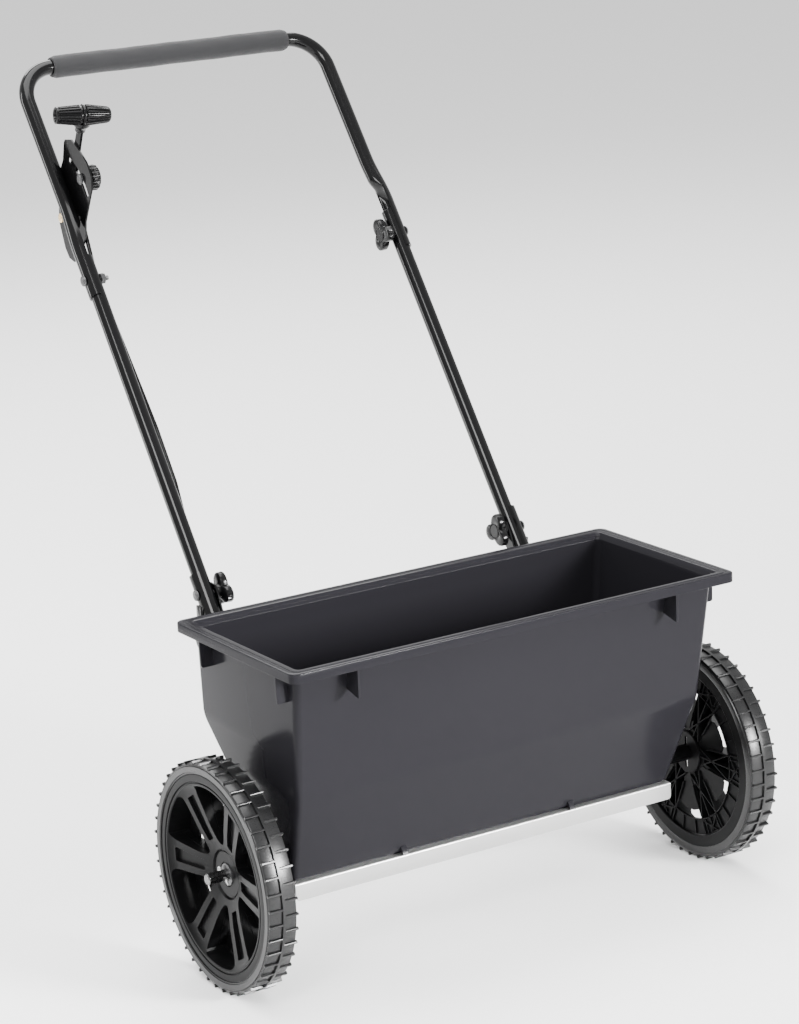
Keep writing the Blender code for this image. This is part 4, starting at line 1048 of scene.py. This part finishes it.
def build_lever_grip():
    """T-shaped grip: two ribbed, tapering halves either side of a plain ring, hollow at one end."""
    pivot = middle("lever_pivot_bolt")
    lean = math.radians(27.5)
    direction = Vector((0.0, -math.sin(lean), math.cos(lean)))
    hub = Vector((middle("lever").x, pivot.y, pivot.z))
    centre = hub + direction * 0.1405
    yaw, tilt = math.radians(-10.0), math.radians(-4.5)
    axis = Vector((math.cos(yaw) * math.cos(tilt), math.sin(yaw) * math.cos(tilt), math.sin(tilt)))
    u, v = square_to(axis)
    half = 0.0325
    # (distance along the grip, radius, how deep the ribs are)
    stations = ((-half + 0.0140, 0.0058, 0.0), (-half + 0.0012, 0.0072, 0.0), (-half, 0.0078, 0.0),
                (-half, 0.0090, 0.0), (-half + 0.0006, 0.0097, 0.0), (-half + 0.0024, 0.0098, 0.0),
                (-half + 0.0030, 0.0096, 1.0), (-0.0060, 0.0116, 1.0), (-0.0042, 0.0118, 1.0),
                (-0.0036, 0.0108, 0.0), (-0.0020, 0.0106, 0.0), (-0.0012, 0.0124, 0.0), (0.0, 0.0128, 0.0),
                (0.0014, 0.0124, 0.0), (0.0022, 0.0112, 0.0), (0.0030, 0.0120, 1.0), (0.0060, 0.0119, 1.0),
                (half - 0.0040, 0.0092, 1.0), (half - 0.0016, 0.0082, 0.6), (half - 0.0002, 0.0064, 0.1),
                (half, 0.0040, 0.0))
    count = 96
    rings = []
    for along, radius, ribbed in stations:
        ring = []
        for t in turns(count):
            rib = 1.0 + ribbed * 0.075 * (math.tanh(2.2 * math.cos(16.0 * t)) - 0.6)
            ring.append(centre + axis * along + u * (radius * rib * math.cos(t))
                        + v * (radius * rib * math.sin(t)))
        rings.append(ring)
    bm = bmesh.new()
    loft(bm, rings)
    neck_base = hub + direction * 0.1188
    profile = ((0.0, 0.0052), (0.0008, 0.0060), (0.0035, 0.0062), (0.0060, 0.0070), (0.0085, 0.0092),
               (0.0110, 0.0108), (0.0150, 0.0110))
    add_turned(bm, neck_base, direction, profile, 40)
    piece("lever_hand_grip", bm, "knob", "lever", "lever_grip", sharp=40.0)


def build_control_rod():
    """Wire rod from the lever down the inside of the left tube to the crank."""
    arm = hole_centre()
    foot = Vector((AXLE.x - 0.188, AXLE.y + 0.062, 0.140))
    run_x = -0.1880
    route = [Vector((-0.1904, arm.y, arm.z)), Vector((-0.1841, arm.y, arm.z))]
    for z, x, behind in ((0.700, -0.1905, 0.0180), (0.625, -0.1892, 0.0130), (0.540, run_x, 0.0088),
                         (0.485, run_x, 0.0105), (0.425, run_x, 0.0262), (0.300, run_x, 0.0262)):
        s = (z - joint_point(0.0, 0.0).z) / ALONG.z
        route.append(joint_point(s, x) + ACROSS * behind)
    route += [foot + ACROSS * 0.0048 + ALONG * 0.0004, foot - ACROSS * 0.0032]
    bm = bmesh.new()
    add_tube(bm, rounded_path(route, 0.03, 10), 0.0025, None, 20, BACK)
    piece("lever_rod", bm, "paint", "rod", "control_rod")


def hole_centre():
    """Hole in the lever's short arm that the rod hooks into."""
    pivot = middle("lever_pivot_bolt")
    arm, swing = 0.030, math.radians(55.2)
    return Vector((middle("lever").x, pivot.y - arm * math.sin(swing), pivot.z + arm * math.cos(swing)))


# ---------------------------------------------------------------- finishes of the frame's own parts
KEPT_FINISHES = {
    "paint": ("lever_plate", "lever", "hopper_bracket_left", "hopper_bracket_right"),
    "brass": ("lever_pivot_bolt",),
    "rubber": ("foot_pad_left", "foot_pad_right"),
    "wheel": ("agitator", "crank_bracket", "axle_bushing_left", "axle_bushing_right", "axle_spacer_left",
              "axle_spacer_right"),
    "dark_zinc": ("upper_bolt_left", "upper_bolt_right", "lower_bolt_left", "lower_bolt_right",
                  "upper_nut_left", "plate_screw", "rate_stop_bolt", "wheel_washer_left",
                  "wheel_washer_right"),
    "zinc": ("lever_pivot_nut", "bell_crank", "crank_pin", "hopper_bolt_left", "hopper_bolt_right",
             "agitator_pin", "drive_pin"),
}


def finish_kept_parts():
    for key, names in KEPT_FINISHES.items():
        for name in names:
            mesh = frame["nodes"][name].data
            mesh.materials.clear()
            mesh.materials.append(finish(key))


# ---------------------------------------------------------------- stage
def build_stage():
    settings = bpy.context.scene.spreader_stage
    scene = bpy.context.scene
    bm = bmesh.new()
    bmesh.ops.create_grid(bm, x_segments=4, y_segments=4, size=60.0)
    mesh = bpy.data.meshes.new("floor")
    bm.to_mesh(mesh)
    bm.free()
    floor = bpy.data.objects.new("floor", mesh)
    scene.collection.objects.link(floor)
    mat, nodes, _ = new_material("pale_floor")
    shader = nodes["Principled BSDF"]
    shader.inputs["Base Color"].default_value = (0.93, 0.93, 0.93, 1.0)
    shader.inputs["Roughness"].default_value = 0.9
    shader.inputs["Specular IOR Level"].default_value = 0.1
    mesh.materials.append(mat)
    world = bpy.data.worlds.new("studio")
    scene.world = world
    world.use_nodes = True
    background = world.node_tree.nodes["Background"]
    background.inputs["Color"].default_value = (1.0, 1.0, 1.0, 1.0)
    background.inputs["Strength"].default_value = 1.20
    middle_height = Vector((0.0, 0.0, 0.4))
    add_light("key", (-2.4, -2.4, 3.2), (1.6, 1.6), 165.0, middle_height)
    add_light("overhead", (0.0, 0.2, 4.2), (4.0, 3.0), 315.0, middle_height)
    add_light("tread_strip", (1.10, -2.75, 0.95), (0.8, 0.6), 27.0, Vector((-0.3, AXLE.y, AXLE.z)), 50.0)
    add_light("edge_strip", (-2.3, 2.1, 1.0), (0.40, 2.4), 50.0, middle_height)
    add_light("back", (0.8, 3.0, 3.0), (3.0, 1.2), 135.0, middle_height)
    add_camera(settings)


def add_light(name, place, size, power, target, fan=180.0):
    data = bpy.data.lights.new(name, "AREA")
    data.shape = "RECTANGLE"
    data.size, data.size_y = size
    data.energy = power
    data.spread = math.radians(fan)
    light = bpy.data.objects.new(name, data)
    bpy.context.scene.collection.objects.link(light)
    light.location = place
    light.rotation_euler = (target - light.location).to_track_quat("-Z", "Y").to_euler()


def add_camera(settings):
    data = bpy.data.cameras.new("camera")
    data.lens = settings.lens
    data.sensor_width = 36.0
    camera = bpy.data.objects.new("camera", data)
    bpy.context.scene.collection.objects.link(camera)
    turn, pitch, roll = (math.radians(value) for value in (settings.turn, settings.pitch, settings.roll))
    forward = Vector((-math.sin(turn) * math.cos(pitch), math.cos(turn) * math.cos(pitch), -math.sin(pitch)))
    level = Vector((math.cos(turn), math.sin(turn), 0.0))
    upward = level.cross(forward)
    right = level * math.cos(roll) + upward * math.sin(roll)
    up = right.cross(forward)
    place = Vector((AXLE.x - 1.764, AXLE.y - 2.802, 1.338))
    matrix = Matrix((right, up, -forward)).transposed().to_4x4()
    matrix.translation = place
    camera.matrix_world = matrix
    bpy.context.scene.camera = camera


# ---------------------------------------------------------------- operators
class SPREADER_OT_hopper(bpy.types.Operator):
    """Build the hopper and the sliding gate under it"""
    bl_idname = "spreader.hopper"
    bl_label = "Hopper and gate"

    def execute(self, context):
        build_hopper()
        build_gate()
        return {"FINISHED"}


class SPREADER_OT_wheels(bpy.types.Operator):
    """Build both wheels with their lugged tyres"""
    bl_idname = "spreader.wheels"
    bl_label = "Wheels"

    def execute(self, context):
        build_wheel(-1.0, "left", "free_wheel")
        build_wheel(1.0, "right", "drive_axle")
        return {"FINISHED"}


class SPREADER_OT_axle(bpy.types.Operator):
    """Build the axle bar and its split pins"""
    bl_idname = "spreader.axle"
    bl_label = "Axle"

    def execute(self, context):
        build_axle()
        return {"FINISHED"}


class SPREADER_OT_handle(bpy.types.Operator):
    """Build the handle tubes, the stand and the foam grip"""
    bl_idname = "spreader.handle"
    bl_label = "Handle and stand"

    def execute(self, context):
        build_upper_handle()
        build_lower_tubes()
        build_grip()
        build_stand()
        return {"FINISHED"}


class SPREADER_OT_controls(bpy.types.Operator):
    """Build the hand knobs, the lever grip and the control rod"""
    bl_idname = "spreader.controls"
    bl_label = "Knobs and lever"

    def execute(self, context):
        build_knobs()
        build_lever_grip()
        build_control_rod()
        return {"FINISHED"}


class SPREADER_OT_finishes(bpy.types.Operator):
    """Give the frame's own small parts their finishes"""
    bl_idname = "spreader.finishes"
    bl_label = "Finishes"

    def execute(self, context):
        finish_kept_parts()
        return {"FINISHED"}


class SPREADER_OT_stage(bpy.types.Operator):
    """Set the floor, the lights and the camera"""
    bl_idname = "spreader.stage"
    bl_label = "Stage"

    def execute(self, context):
        build_stage()
        return {"FINISHED"}


class SPREADER_PT_panel(bpy.types.Panel):
    """Buttons and sizes of the spreader"""
    bl_idname = "SPREADER_PT_panel"
    bl_label = "Drop Spreader"
    bl_space_type = "VIEW_3D"
    bl_region_type = "UI"
    bl_category = "Spreader"

    def draw(self, context):
        for operator in OPERATORS:
            self.layout.operator(operator.bl_idname)
        for name, group in GROUPS.items():
            box = self.layout.box()
            for prop in group.__annotations__:
                box.prop(getattr(context.scene, name), prop)


OPERATORS = (
    SPREADER_OT_hopper,
    SPREADER_OT_wheels,
    SPREADER_OT_axle,
    SPREADER_OT_handle,
    SPREADER_OT_controls,
    SPREADER_OT_finishes,
    SPREADER_OT_stage,
)


def register():
    for name, group in GROUPS.items():
        bpy.utils.register_class(group)
        setattr(bpy.types.Scene, name, PointerProperty(type=group))
    for cls in OPERATORS + (SPREADER_PT_panel,):
        bpy.utils.register_class(cls)


def unregister():
    for cls in reversed(OPERATORS + (SPREADER_PT_panel,)):
        bpy.utils.unregister_class(cls)
    for name, group in GROUPS.items():
        delattr(bpy.types.Scene, name)
        bpy.utils.unregister_class(group)


def main():
    register()
    bpy.ops.spreader.hopper()
    bpy.ops.spreader.wheels()
    bpy.ops.spreader.axle()
    bpy.ops.spreader.handle()
    bpy.ops.spreader.controls()
    bpy.ops.spreader.finishes()
    bpy.ops.spreader.stage()


if __name__ == "__main__":
    main()
